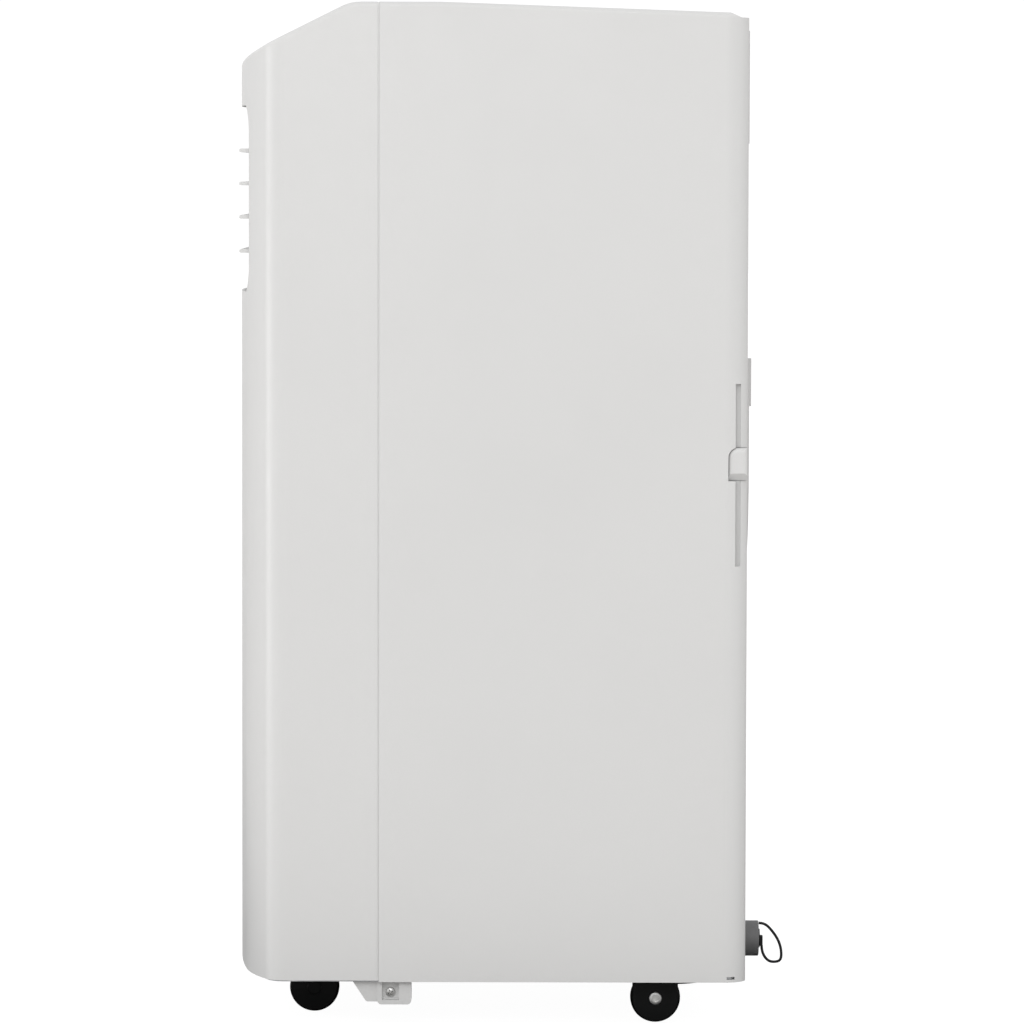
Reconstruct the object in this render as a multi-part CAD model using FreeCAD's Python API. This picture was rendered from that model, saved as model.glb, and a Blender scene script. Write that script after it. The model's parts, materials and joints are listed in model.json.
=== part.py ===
import FreeCAD, Part
import math
import os

# Floor-standing portable room air conditioner on four casters.
# Millimetres. +Z up, front faces -Y.
# The origin is on the floor under the middle of the cabinet and its drain stopper.

# ---------------------------------------------------------------- driving dimensions
HEIGHT = 703.0            # floor to the flat of the top
WIDTH = 345.0             # outside of the two side walls
FRONT_REACH = 100.0       # crown of the front face, ahead of the vertical seam
REAR_REACH = 253.0        # rear face, behind the seam
DRAIN_PROUD = 15.0        # drain stopper tip, behind the rear face
UNDERSIDE = 31.5          # cabinet underside above the floor
WALL = 2.5                # moulded wall thickness
GAP = 0.3                 # clearance between moving surfaces
FIT = 0.06                # radial clearance of a running fit

SEAM_Y = -83.0            # vertical seam between the front and rear shells
CROWN_Y = SEAM_Y - FRONT_REACH
REAR_Y = SEAM_Y + REAR_REACH
HALF = WIDTH / 2

# plan of the cabinet
CROWN_RADIUS = 870.0
CROWN_HALF = 112.5        # half width of the gentle front arc
SHOULDER_RADIUS = 170.0
CORNER_RADIUS = 15.0      # front and rear vertical corners

# side profile of the cabinet
PANEL_ANGLE = 26.5        # slope of the control panel
PANEL_EDGE_Y = SEAM_Y - 19.0
SLOPE_Y = SEAM_Y + 42.0   # the top starts to fall here
TOP_FALL = 2.0            # degrees
RIM_ROUND = 3.0
REAR_DROP = 3.0           # step down of the top along its rear edge
SEAM_HALF_GAP = 0.6
SEAM_DEPTH = 0.45

# air outlet in the front
OUTLET_HALF = 126.0
OUTLET_Z = (504.0, 633.0)
OUTLET_ROUND = 20.0
DUCT_HALF = OUTLET_HALF + 0.5
DUCT_Z = (501.0, 636.0)
DUCT_REAR_Y = SEAM_Y - 17.0

# louvre blades
BLADE_Z = (601.8, 579.0, 556.0, 532.5)
BLADE_FRONT_Y = SEAM_Y - 97.0
BLADE_CHORD = 26.0
BLADE_THICK = 2.6
BLADE_HALF = OUTLET_HALF - 1.5
BLADE_AXIS_Y = BLADE_FRONT_Y + BLADE_CHORD / 2
CRANK = 10.5
BAR_X = -118.0

# vertical vanes
VANE_X = (-75.0, -25.0, 25.0, 75.0)
VANE_CHORD = 40.0
VANE_AXIS_Y = SEAM_Y - 45.0
VANE_THICK = 1.8
VANE_CRANK = 14.0
VANE_LINK_Z = 520.0

# control panel, in its own frame: origin on the slope, local y uphill, local z outward
PANEL_CENTRE_Y = SEAM_Y - 57.5
PANEL_HALF_X = 100.0
PANEL_HALF_Y = 24.0
PANEL_THICK = 2.5
LEDGE_THICK = 1.5
DISPLAY_HALF = (30.0, 12.0)
BUTTON_X = {"power": -82.0, "mode": -54.0, "fan": 48.0, "warmer": 67.0, "cooler": 86.0}
BUTTON_RADIUS = 6.0
BUTTON_PROUD = 0.7
BOARD_TOP = -9.2          # top of the control board, in the panel's frame

# middle partition and the two air circuits
SHELF_Z = (455.0, 458.0)
UPPER_AXIS = (SEAM_Y + 38.0, 572.0)
UPPER_WHEEL_RADIUS = 46.0
LOWER_AXIS_Z = 205.0
LOWER_WHEEL_RADIUS = 68.0
LOWER_SCROLL_Y = (50.0, 120.0)
DUCT_FLOOR = 306.0        # floor of the exhaust duct

# compressor and refrigerant pipes
COMPRESSOR_XY = (0.0, -85.0)
ACCUMULATOR_XY = (80.0, -60.0)
SUCTION_X = 152.0
SUCTION_RADIUS = 5.0
CAPILLARY_X = -142.0

# rear face
UPPER_OPENING = (132.0, 465.8, 686.0)
LOWER_OPENING = (132.0, 106.0, 298.0)
RIB_PITCH = 10.8
RIB_THICK = 3.2
RIB_PROUD = 0.3
GRIP_Z = (607.0, 684.5)   # raised frame round the upper grille's finger hold
GRIP_PROUD = 1.6
PORT_Z = 378.0
PORT_RADIUS = 65.0
PORT_WALL = 2.5
RAIL_PROUD = (4.4, 5.8)
RAIL_Z = (363.0, 424.0, 457.5)

# drains
CAP_X = HALF - 11.5
CAP_Z = 388.0
CAP_HALF_Z = 11.2
CAP_DEPTH = 13.2          # front to back
CAP_CROWN = 6.5           # rounding of the cap's upper front edge
GROOVE_Y = (SEAM_Y + 244.4, SEAM_Y + 248.0)
GROOVE_Z = (318.0, 443.0)
COLLAR_X = 85.0
COLLAR_Z = 51.0
COLLAR_RADIUS = 12.4
COLLAR_PROUD = 12.0
LEASH_DIAMETER = 1.9

# fasteners and cord inlet on the rear face
GLAND_X = -100.0
GLAND_Z = 62.0
REAR_SCREWS = [(side * 146.0, z) for side in (-1, 1) for z in (60.0, 315.0, 444.0)]
SCREW_SINK = 1.5          # depth of the screw heads' seats
FOOT_SCREW_Y = SEAM_Y + 8.6
FOOT_SCREW_Z = 23.4

# casters
WHEEL_RADIUS = 17.3
WHEEL_HALF = 6.6
TRAIL = 8.0
REAR_WHEEL = (HALF - 33.0, SEAM_Y + 191.4)
FRONT_WHEEL = (HALF - 83.0, SEAM_Y - 46.0)
FORK_HALF = 9.5
AXLE_TIP = FORK_HALF - 1.0
AXLE_HEAD = 1.6
STEM_RADIUS = 4.0
CUP_INNER = 25.8
CUP_OUTER = 27.2
CUP_FLANGE = 30.0

PARTS = {}


# ---------------------------------------------------------------- helpers
def vec(x, y, z):
    return FreeCAD.Vector(x, y, z)


def box(x0, x1, y0, y1, z0, z1):
    return Part.makeBox(x1 - x0, y1 - y0, z1 - z0, vec(x0, y0, z0))


def rod(radius, start, end):
    """Solid cylinder between two points."""
    axis = vec(*end) - vec(*start)
    return Part.makeCylinder(radius, axis.Length, vec(*start), axis)


def pipe_section(outer, inner, start, end):
    """Straight hollow cylinder between two points."""
    return rod(outer, start, end).cut(rod(inner, start, end))


def fuse(shapes):
    return shapes[0].multiFuse(shapes[1:]).removeSplitter()


def cut(shape, tools):
    return shape.cut(Part.makeCompound(tools))


def group(shapes):
    """Several separate solids in one node."""
    return Part.makeCompound(shapes)


def mirrored(shape):
    return shape.mirror(vec(0, 0, 0), vec(1, 0, 0))


def prism_x(points, x0, x1):
    """Polygon of (y, z) points extruded along X."""
    outline = [vec(x0, y, z) for y, z in points]
    face = Part.Face(Part.makePolygon(outline + outline[:1]))
    return face.extrude(vec(x1 - x0, 0, 0))


def rounded_prism(half_x, half_y, radius, z0, z1, centre=(0.0, 0.0)):
    """Rectangle with rounded corners, extruded along Z."""
    x, y = centre
    block = box(x - half_x, x + half_x, y - half_y, y + half_y, z0, z1)
    upright = [e for e in block.Edges if abs(e.Vertexes[0].X - e.Vertexes[1].X) < 1e-6
               and abs(e.Vertexes[0].Y - e.Vertexes[1].Y) < 1e-6]
    return block.makeFillet(radius, upright)


def on_panel(shape):
    """Moves a shape from the panel's own frame onto the slope."""
    placed = shape.copy()
    placed.rotate(vec(0, 0, 0), vec(1, 0, 0), PANEL_ANGLE)
    placed.translate(vec(0, PANEL_CENTRE_Y, panel_line(PANEL_CENTRE_Y)))
    return placed


def panel_line(y):
    """Height of the sloped panel face at a given y."""
    return HEIGHT + (y - PANEL_EDGE_Y) * math.tan(math.radians(PANEL_ANGLE))


def tube_along(points, diameter, name=""):
    """Round tube along straight runs joined by tangent arcs."""
    corners = [vec(*p) for p in points]
    edges = []
    radii = []
    start = corners[0]
    for before, corner, after in zip(corners, corners[1:], corners[2:]):
        into = (corner - before).normalize()
        out = (after - corner).normalize()
        turn = into.getAngle(out)
        setback = 0.45 * min((corner - before).Length, (after - corner).Length)
        radius = setback / math.tan(turn / 2)
        radii.append(round(radius, 2))
        arc_start = corner - into * setback
        arc_end = corner + out * setback
        inward = (out - into).normalize()
        middle = corner + inward * (radius / math.cos(turn / 2) - radius)
        edges.append(Part.LineSegment(start, arc_start).toShape())
        edges.append(Part.Arc(arc_start, middle, arc_end).toShape())
        start = arc_end
    edges.append(Part.LineSegment(start, corners[-1]).toShape())
    path = Part.Wire(edges)
    ring = Part.makeCircle(diameter / 2, corners[0], corners[1] - corners[0])
    tube = path.makePipeShell([Part.Wire([ring])], True, False)
    if name:
        expected = path.Length * math.pi * diameter ** 2 / 4
        print(name, "length", round(path.Length, 1), "bend radii", radii,
              "volume", round(tube.Volume, 1), "expected", round(expected, 1))
    return tube


# ---------------------------------------------------------------- cabinet outline
def plan_face(inset):
    """Plan outline of the cabinet at z = 0, moved inwards by inset."""
    lean = math.asin(CROWN_HALF / CROWN_RADIUS)
    crown_centre = (0.0, CROWN_Y + CROWN_RADIUS)
    shoulder_centre = (CROWN_HALF - SHOULDER_RADIUS * math.sin(lean),
                       crown_centre[1] - (CROWN_RADIUS - SHOULDER_RADIUS) * math.cos(lean))
    corner_x = HALF - CORNER_RADIUS
    reach = SHOULDER_RADIUS - CORNER_RADIUS
    across = corner_x - shoulder_centre[0]
    corner_centre = (corner_x, shoulder_centre[1] - math.sqrt(reach ** 2 - across ** 2))
    swing = math.asin(across / reach)
    rear_centre = (HALF - CORNER_RADIUS, REAR_Y - CORNER_RADIUS)

    def at(centre, radius, angle, side):
        """Point at an angle measured from straight ahead, on one side."""
        return vec(side * (centre[0] + radius * math.sin(angle)), centre[1] - radius * math.cos(angle), 0)

    right = math.pi / 2
    arcs = [
        (crown_centre, CROWN_RADIUS, 0.0, lean),
        (shoulder_centre, SHOULDER_RADIUS, lean, swing),
        (corner_centre, CORNER_RADIUS, swing, right),
        (rear_centre, CORNER_RADIUS, right, math.pi),
    ]
    chains = {}
    for side in (1, -1):
        edges = []
        last = None
        for centre, radius, first_angle, last_angle in arcs:
            r = radius - inset
            first = at(centre, r, first_angle, side)
            middle = at(centre, r, (first_angle + last_angle) / 2, side)
            end = at(centre, r, last_angle, side)
            if last is not None and (first - last).Length > 0.01:
                edges.append(Part.LineSegment(last, first).toShape())
            edges.append(Part.Arc(first, middle, end).toShape())
            last = end
        chains[side] = edges
        chains[side, "end"] = last
    closing = Part.LineSegment(chains[1, "end"], chains[-1, "end"]).toShape()
    return Part.Face(Part.Wire(Part.__sortEdges__(chains[1] + [closing] + chains[-1])))


def side_profile(inset, bottom, drop=REAR_DROP):
    """Side view of the cabinet as (y, z) points, moved inwards from the top by inset."""
    panel = math.radians(PANEL_ANGLE)
    fall = math.radians(TOP_FALL)
    front = CROWN_Y - 5
    rear = REAR_Y + 5
    ridge = PANEL_EDGE_Y + inset * (1 / math.cos(panel) - 1) / math.tan(panel)
    shoulder = SLOPE_Y - inset * (1 / math.cos(fall) - 1) / math.tan(fall)

    def top(y):
        return HEIGHT - inset - (y - shoulder) * math.tan(fall)

    brow, step = REAR_Y - 13.0, REAR_Y - 5.6
    return [
        (front, bottom),
        (front, HEIGHT - inset + (front - ridge) * math.tan(panel)),
        (ridge, HEIGHT - inset),
        (shoulder, HEIGHT - inset),
        (brow, top(brow)),
        (step, top(step) - drop),
        (rear, top(rear) - drop),
        (rear, bottom),
    ]


def cabinet_solid(inset, bottom, drop=REAR_DROP):
    body = plan_face(inset).extrude(vec(0, 0, HEIGHT + 20))
    return body.common(prism_x(side_profile(inset, bottom, drop), -HALF - 5, HALF + 5))


def rounded_cabinet():
    """Outside of the cabinet with its ridge and its top rim rounded."""
    body = cabinet_solid(0.0, UNDERSIDE, 0.0)
    ridge = [e for e in body.Edges
             if abs(e.CenterOfMass.y - PANEL_EDGE_Y) < 0.01 and abs(e.CenterOfMass.z - HEIGHT) < 0.01]
    body = body.makeFillet(30.0, ridge)
    rim = [e for e in body.Edges if e.BoundBox.ZMin > HEIGHT - 60 and not crosses_top(e)]
    body = body.makeFillet(RIM_ROUND, rim)
    return body.common(prism_x(side_profile(0.0, UNDERSIDE - 1), -HALF - 5, HALF + 5))


def crosses_top(edge):
    """True for an edge that runs over the top from side to side, inside the rim."""
    ends = edge.Vertexes
    across = abs(ends[0].X - ends[-1].X) > WIDTH - 20
    return across and CROWN_Y + 30 < ends[0].Y < REAR_Y - 5


# ---------------------------------------------------------------- shells
def make_shells():
    outer = rounded_cabinet()
    hollow = outer.cut(cabinet_solid(WALL, UNDERSIDE - 10))
    ahead = box(-HALF - 5, HALF + 5, CROWN_Y - 5, SEAM_Y - SEAM_HALF_GAP, UNDERSIDE + 1, HEIGHT + 5)
    behind = box(-HALF - 5, HALF + 5, SEAM_Y + SEAM_HALF_GAP, REAR_Y + 5, UNDERSIDE - 1, HEIGHT + 5)
    PARTS["front_shell"] = finish_front(hollow.common(ahead))
    PARTS["rear_shell"] = finish_rear(hollow.common(behind))


def finish_front(shell):
    middle_z = sum(OUTLET_Z) / 2
    half_z = (OUTLET_Z[1] - OUTLET_Z[0]) / 2
    opening = rounded_prism(OUTLET_HALF, half_z, OUTLET_ROUND, 0, 60)
    opening.rotate(vec(0, 0, 0), vec(1, 0, 0), 90)
    opening.translate(vec(0, SEAM_Y - 55, middle_z))
    recess = on_panel(rounded_prism(PANEL_HALF_X + 0.2, PANEL_HALF_Y + 0.2, 6.2, -6, 6))
    tongue_band = box(-HALF, HALF, SEAM_Y - 6, SEAM_Y + 5, 52, HEIGHT)
    tongue = cabinet_solid(WALL, UNDERSIDE).cut(cabinet_solid(WALL + 1.5, UNDERSIDE - 10)).common(tongue_band)
    sills = [seam_sill(WALL + 0.5, 52, HEIGHT), seam_sill(WALL, UNDERSIDE + 1, 53)]
    return fuse([cut(shell, [opening, recess]), tongue] + sills)


def seam_sill(inner, z0, z1):
    """Strip of the front shell that closes the seam from behind, down to a shallow groove."""
    band = box(-HALF, HALF, SEAM_Y - SEAM_HALF_GAP - 0.5, SEAM_Y + SEAM_HALF_GAP - 0.1, z0, z1)
    return cabinet_solid(SEAM_DEPTH, UNDERSIDE).cut(cabinet_solid(inner, UNDERSIDE - 10)).common(band)


def finish_rear(shell):
    ux, uz0, uz1 = UPPER_OPENING
    lx, lz0, lz1 = LOWER_OPENING
    upper = box(-ux, ux, REAR_Y - 20, REAR_Y + 5, uz0, uz1)
    lower = box(-lx, lx, REAR_Y - 20, REAR_Y + 5, lz0, lz1)
    port = rod(PORT_RADIUS + PORT_WALL + 0.2, (0, REAR_Y - 20, PORT_Z), (0, REAR_Y + 5, PORT_Z))
    collar = rod(COLLAR_RADIUS, (COLLAR_X, REAR_Y - 20, COLLAR_Z), (COLLAR_X, REAR_Y + 5, COLLAR_Z))
    gland = rod(8.0, (GLAND_X, REAR_Y - 20, GLAND_Z), (GLAND_X, REAR_Y + 5, GLAND_Z))
    screws = [rod(1.6, (x, REAR_Y - 6, z), (x, REAR_Y + 5, z)) for x, z in REAR_SCREWS]
    screws += [rod(3.9, (x, REAR_Y - SCREW_SINK, z), (x, REAR_Y + 5, z)) for x, z in REAR_SCREWS]

    pocket = cap_block(GAP, HALF + 5, REAR_Y + 5)
    liner = box(CAP_X - 14.0, HALF, REAR_Y - CAP_DEPTH - 4.0, REAR_Y,
                CAP_Z - CAP_HALF_Z - 2.8, CAP_Z + CAP_HALF_Z + 2.8).common(cabinet_solid(0.5, UNDERSIDE))
    neck_hole = rod(7.0, (CAP_X, REAR_Y - CAP_DEPTH - 10, CAP_Z), (CAP_X, REAR_Y - CAP_DEPTH + 1, CAP_Z))
    groove = box(HALF - 7.0, HALF + 5, *GROOVE_Y, *GROOVE_Z)
    groove_back = box(HALF - 9.5, HALF - 1.0, GROOVE_Y[0] - WALL, GROOVE_Y[1] + WALL,
                      GROOVE_Z[0] - WALL, GROOVE_Z[1] + WALL).common(cabinet_solid(0.5, UNDERSIDE))
    slots = [box(*sorted((side * (HALF - 8), side * (HALF + 5))), SEAM_Y + 239.7, SEAM_Y + 245.2, 33.4, 35.4)
             for side in (-1, 1)]
    body = fuse([shell, liner, groove_back])
    return cut(body, [upper, lower, port, collar, gland, pocket, neck_hole, groove] + slots + screws)


def cap_block(grow, outer_x, rear_y):
    """The drain cap's bell shape, grown on every side; its outer and rear faces are placed by the caller."""
    front = REAR_Y - CAP_DEPTH - grow
    top = CAP_Z + CAP_HALF_Z + grow
    block = box(CAP_X - CAP_HALF_Z - grow, outer_x, front, rear_y, CAP_Z - CAP_HALF_Z - grow, top)
    crown = [e for e in block.Edges if e.BoundBox.XLength > 1 and e.BoundBox.ZMin > top - 0.1
             and e.BoundBox.YMax < front + 0.1]
    return block.makeFillet(CAP_CROWN + grow, crown)


def make_base_pan():
    floor_top = UNDERSIDE + WALL
    slab = plan_face(WALL + 0.2).extrude(vec(0, 0, 18.5))
    inside = plan_face(WALL + 2.2).extrude(vec(0, 0, 30))
    slab.translate(vec(0, 0, UNDERSIDE))
    inside.translate(vec(0, 0, floor_top))
    pan = slab.cut(inside)
    tabs = [box(side * (HALF - WALL) - 0.2 * (side > 0), side * (HALF - WALL) + 0.2 * (side < 0),
                SEAM_Y + 60, SEAM_Y + 90, UNDERSIDE + 2, UNDERSIDE + 16) for side in (-1, 1)]
    holes = [rod(CUP_OUTER, (x, y + TRAIL, 0), (x, y + TRAIL, 60)) for x, y in caster_places()]
    drain = rod(COLLAR_RADIUS + 1, (COLLAR_X, REAR_Y - 12, COLLAR_Z), (COLLAR_X, REAR_Y, COLLAR_Z))
    gland = rod(9.0, (GLAND_X, REAR_Y - 12, GLAND_Z), (GLAND_X, REAR_Y, GLAND_Z))
    PARTS["base_pan"] = cut(fuse([pan] + tabs), holes + [drain, gland])


def make_brackets():
    """White foot under the seam on each side: a slanted web and a block with a screw pocket."""
    web = prism_x([(SEAM_Y - 17.5, UNDERSIDE), (SEAM_Y - 8.6, 18.0), (SEAM_Y - 7.4, 17.2),
                   (SEAM_Y - 0.5, 17.2), (SEAM_Y - 0.5, UNDERSIDE)], HALF - 16, HALF - 6)
    block = box(HALF - 18, HALF - 4.5, SEAM_Y - 0.5, SEAM_Y + 23.0, 15.4, UNDERSIDE)
    corners = [e for e in block.Edges if e.BoundBox.ZMax < 16 and e.BoundBox.XLength > 10]
    block = block.makeFillet(3.0, corners)
    pocket = box(HALF - 9.5, HALF, SEAM_Y + 2.8, SEAM_Y + 14.4, 18.4, UNDERSIDE - 1)
    bore = rod(1.7, (HALF - 20, FOOT_SCREW_Y, FOOT_SCREW_Z), (HALF, FOOT_SCREW_Y, FOOT_SCREW_Z))
    bracket = cut(fuse([web, block]), [pocket, bore])
    PARTS["side_brackets"] = group([bracket, mirrored(bracket)])


def make_screws():
    seat = HALF - 9.5
    head = rod(3.4, (seat, FOOT_SCREW_Y, FOOT_SCREW_Z), (seat + 2.2, FOOT_SCREW_Y, FOOT_SCREW_Z))
    shank = rod(1.6, (HALF - 17.5, FOOT_SCREW_Y, FOOT_SCREW_Z), (seat, FOOT_SCREW_Y, FOOT_SCREW_Z))
    bracket_screw = fuse([head, shank])
    screws = [bracket_screw, mirrored(bracket_screw)]
    for x, z in REAR_SCREWS:
        seat = REAR_Y - SCREW_SINK
        dome = rod(3.6, (x, seat, z), (x, seat + 1.6, z))
        rim = [e for e in dome.Edges if e.BoundBox.YMin > seat + 1]
        screws.append(fuse([dome.makeFillet(1.0, rim), rod(1.5, (x, seat - 7, z), (x, seat, z))]))
    PARTS["case_screws"] = group(screws)


# ---------------------------------------------------------------- casters
def caster_places():
    """Wheel centres in plan: rear right, rear left, front right, front left."""
    return [(side * x, y) for x, y in (REAR_WHEEL, FRONT_WHEEL) for side in (1, -1)]


def make_casters():
    """Four swivel casters. The rear axles have their heads outside, the front ones inside."""
    cups = []
    names = ("rear_right", "rear_left", "front_right", "front_left")
    for name, (x, y) in zip(names, caster_places()):
        cups.append(make_cup(x, y + TRAIL))
        outside = 1 if x > 0 else -1
        head_side = outside if name.startswith("rear") else -outside
        PARTS["caster_fork_" + name] = make_fork(x, y, head_side)
        PARTS["caster_wheel_" + name] = make_wheel(x, y)
        PARTS["caster_axle_" + name] = make_axle(x, y, head_side)
    PARTS["caster_cups"] = group(cups)


def make_cup(x, y):
    flange = rod(CUP_FLANGE, (x, y, UNDERSIDE - 1.5), (x, y, UNDERSIDE))
    wall = rod(CUP_OUTER, (x, y, UNDERSIDE), (x, y, 42.0))
    boss = rod(7.0, (x, y, 42.0), (x, y, 60.0))
    hollow = rod(CUP_INNER, (x, y, 0), (x, y, 40.3))
    socket = rod(STEM_RADIUS + FIT, (x, y, 40), (x, y, 58.6))
    return cut(fuse([flange, wall, boss]), [hollow, socket])


def make_fork(x, y, head_side):
    """Hood over the wheel: U-shaped cheeks joined over the top, with the swivel stem."""
    half = 15.6
    slot_half = WHEEL_HALF + 0.6
    upper = box(x - FORK_HALF, x + FORK_HALF, y - half, y + half, WHEEL_RADIUS, 38.5)
    top_edges = [e for e in upper.Edges if e.BoundBox.ZMin > 38 and e.BoundBox.XLength > 10]
    upper = upper.makeFillet(12.0, top_edges)
    lower = rod(half, (x - FORK_HALF, y, WHEEL_RADIUS), (x + FORK_HALF, y, WHEEL_RADIUS))
    slot = rod(WHEEL_RADIUS + 0.7, (x - slot_half, y, WHEEL_RADIUS), (x + slot_half, y, WHEEL_RADIUS))
    below = box(x - slot_half, x + slot_half, y - 20, y + 20, -5, WHEEL_RADIUS)
    bore = rod(2.5, (x + head_side * 20, y, WHEEL_RADIUS), (x - head_side * AXLE_TIP, y, WHEEL_RADIUS))
    blind = x - head_side * FORK_HALF
    boss = rod(5.0, (blind + head_side, y, WHEEL_RADIUS), (blind - head_side * 0.8, y, WHEEL_RADIUS))
    boss = boss.makeFillet(0.6, [e for e in boss.Edges if abs(e.CenterOfMass.x - x) > FORK_HALF + 0.7])
    washer = rod(8.0, (x, y + TRAIL, 38.5), (x, y + TRAIL, 40.0))
    stem = rod(STEM_RADIUS, (x, y + TRAIL, 38.0), (x, y + TRAIL, 58.0))
    hood = cut(fuse([upper, lower, boss]), [slot, below, bore])
    return fuse([hood, washer, stem])


def make_wheel(x, y):
    tyre = rod(WHEEL_RADIUS, (x - WHEEL_HALF, y, WHEEL_RADIUS), (x + WHEEL_HALF, y, WHEEL_RADIUS))
    tyre = tyre.makeFillet(2.0, [e for e in tyre.Edges if e.BoundBox.XLength < 0.1])
    bore = rod(2.5 + FIT, (x - 20, y, WHEEL_RADIUS), (x + 20, y, WHEEL_RADIUS))
    dishes = [pipe_section(13.0, 5.5, (x + side * (WHEEL_HALF - 2), y, WHEEL_RADIUS),
                           (x + side * (WHEEL_HALF + 1), y, WHEEL_RADIUS)) for side in (-1, 1)]
    return cut(tyre, [bore] + dishes)


def make_axle(x, y, head_side):
    """Pin with one head; its tip ends blind inside the far cheek of the fork."""
    seat = x + head_side * FORK_HALF
    pin = rod(2.5, (x - head_side * AXLE_TIP, y, WHEEL_RADIUS), (seat, y, WHEEL_RADIUS))
    head = rod(4.5, (seat, y, WHEEL_RADIUS), (seat + head_side * AXLE_HEAD, y, WHEEL_RADIUS))
    rim = [e for e in head.Edges if abs(e.CenterOfMass.x - x) > FORK_HALF + AXLE_HEAD - 0.1]
    return fuse([pin, head.makeFillet(0.7, rim)])


# ---------------------------------------------------------------- control panel
def make_panel():
    plate = rounded_prism(PANEL_HALF_X, PANEL_HALF_Y, 6.0, -PANEL_THICK, 0)
    flange = rounded_prism(PANEL_HALF_X + 4, PANEL_HALF_Y + 4, 8.0, -PANEL_THICK - LEDGE_THICK, -PANEL_THICK)
    dx, dy = DISPLAY_HALF
    window_cut = rounded_prism(dx, dy, 3.0, -PANEL_THICK, 1)
    window_sight = rounded_prism(dx - 2, dy - 2, 2.0, -10, 1)
    holes = [rod(BUTTON_RADIUS + GAP, (x, 0, -10), (x, 0, 1)) for x in BUTTON_X.values()]
    posts = [rod(2.5, (sx * 96, sy * 15, BOARD_TOP), (sx * 96, sy * 15, -PANEL_THICK - LEDGE_THICK))
             for sx in (-1, 1) for sy in (-1, 1)]
    PARTS["control_panel"] = on_panel(cut(fuse([plate, flange] + posts), [window_cut, window_sight] + holes))
    PARTS["display_window"] = on_panel(rounded_prism(dx - 0.2, dy - 0.2, 2.8, -PANEL_THICK, -0.2))

    for name, x in BUTTON_X.items():
        cap = rod(BUTTON_RADIUS, (x, 0, -4.6), (x, 0, BUTTON_PROUD))
        cap = cap.makeFillet(0.5, [e for e in cap.Edges if e.BoundBox.ZMin > 0.5])
        skirt = rod(BUTTON_RADIUS + 1.2, (x, 0, -6.0), (x, 0, -4.6))
        PARTS["button_" + name] = on_panel(fuse([cap, skirt]))

    board = box(-98, 98, -20, 20, BOARD_TOP - 1.6, BOARD_TOP)
    switches = [box(x - 3, x + 3, -3, 3, BOARD_TOP, BOARD_TOP + 1.7) for x in BUTTON_X.values()]
    screen = box(2 - dx, dx - 2, -9, 9, BOARD_TOP, BOARD_TOP + 4)
    chips = [box(-30, -14, -18, -11, BOARD_TOP - 4, BOARD_TOP - 1.6),
             box(8, 32, -8, 8, BOARD_TOP - 9, BOARD_TOP - 1.6)]
    PARTS["control_board"] = on_panel(fuse([board, screen] + switches + chips))


# ---------------------------------------------------------------- air outlet
def make_outlet():
    inner = box(-DUCT_HALF, DUCT_HALF, CROWN_Y - 5, DUCT_REAR_Y + 5, *DUCT_Z)
    outer_half = DUCT_HALF + WALL
    outer = box(-outer_half, outer_half, CROWN_Y - 5, DUCT_REAR_Y, DUCT_Z[0] - WALL, DUCT_Z[1] + WALL)
    duct = outer.cut(inner).common(cabinet_solid(WALL + 0.1, UNDERSIDE))
    holes = [rod(1.8 + FIT, (-150, BLADE_AXIS_Y, z), (150, BLADE_AXIS_Y, z)) for z in BLADE_Z]
    holes += [rod(2.0 + FIT, (x, VANE_AXIS_Y, 480), (x, VANE_AXIS_Y, 660)) for x in VANE_X]
    PARTS["outlet_duct"] = cut(duct, holes)

    for index, z in enumerate(BLADE_Z):
        PARTS["louvre_%d" % (index + 1)] = make_blade(z)
    top = BLADE_Z[0] + 5
    bottom = BLADE_Z[-1] - 5
    crank_y = BLADE_AXIS_Y + CRANK
    bar = box(BAR_X - 1.25, BAR_X + 1.25, crank_y - 2.2, crank_y + 2.2, bottom, top)
    eyes = [rod(1.2 + FIT, (BAR_X - 5, crank_y, z), (BAR_X + 5, crank_y, z)) for z in BLADE_Z]
    PARTS["louvre_bar"] = cut(bar, eyes)

    for index, x in enumerate(VANE_X):
        PARTS["vane_%d" % (index + 1)] = make_vane(x)
    crank_y = VANE_AXIS_Y + VANE_CRANK
    link = box(VANE_X[0] - 5, VANE_X[-1] + 5, crank_y - 2.2, crank_y + 2.2,
               VANE_LINK_Z - 1.25, VANE_LINK_Z + 1.25)
    eyes = [rod(1.2 + FIT, (x, crank_y, VANE_LINK_Z - 5), (x, crank_y, VANE_LINK_Z + 5)) for x in VANE_X]
    PARTS["vane_link"] = cut(link, eyes)


def blade_section(z):
    """Thin aerofoil-like section as (y, z) points, rounded at the front."""
    front = BLADE_FRONT_Y
    rear = front + BLADE_CHORD
    t = BLADE_THICK / 2
    return [(front, z - 0.6 * t), (front, z + 0.6 * t), (front + 1.0, z + t), (rear - 5, z + t),
            (rear, z + 0.5 * t), (rear, z - 0.5 * t), (rear - 5, z - t), (front + 1.0, z - t)]


def make_blade(z):
    blade = prism_x(blade_section(z), -BLADE_HALF, BLADE_HALF)
    crank_y = BLADE_AXIS_Y + CRANK
    notch = box(BAR_X - 4.0, BAR_X + 4.0, crank_y - 7.5, crank_y + 5, z - 3, z + 3)
    crank = rod(1.2, (BAR_X - 4.0, crank_y, z), (BAR_X + 4.0, crank_y, z))
    outer, inner = DUCT_HALF + WALL - 0.3, BLADE_HALF - 4
    pivots = [rod(1.8, (side * outer, BLADE_AXIS_Y, z), (side * inner, BLADE_AXIS_Y, z)) for side in (-1, 1)]
    return fuse([blade.cut(notch), crank] + pivots)


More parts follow.
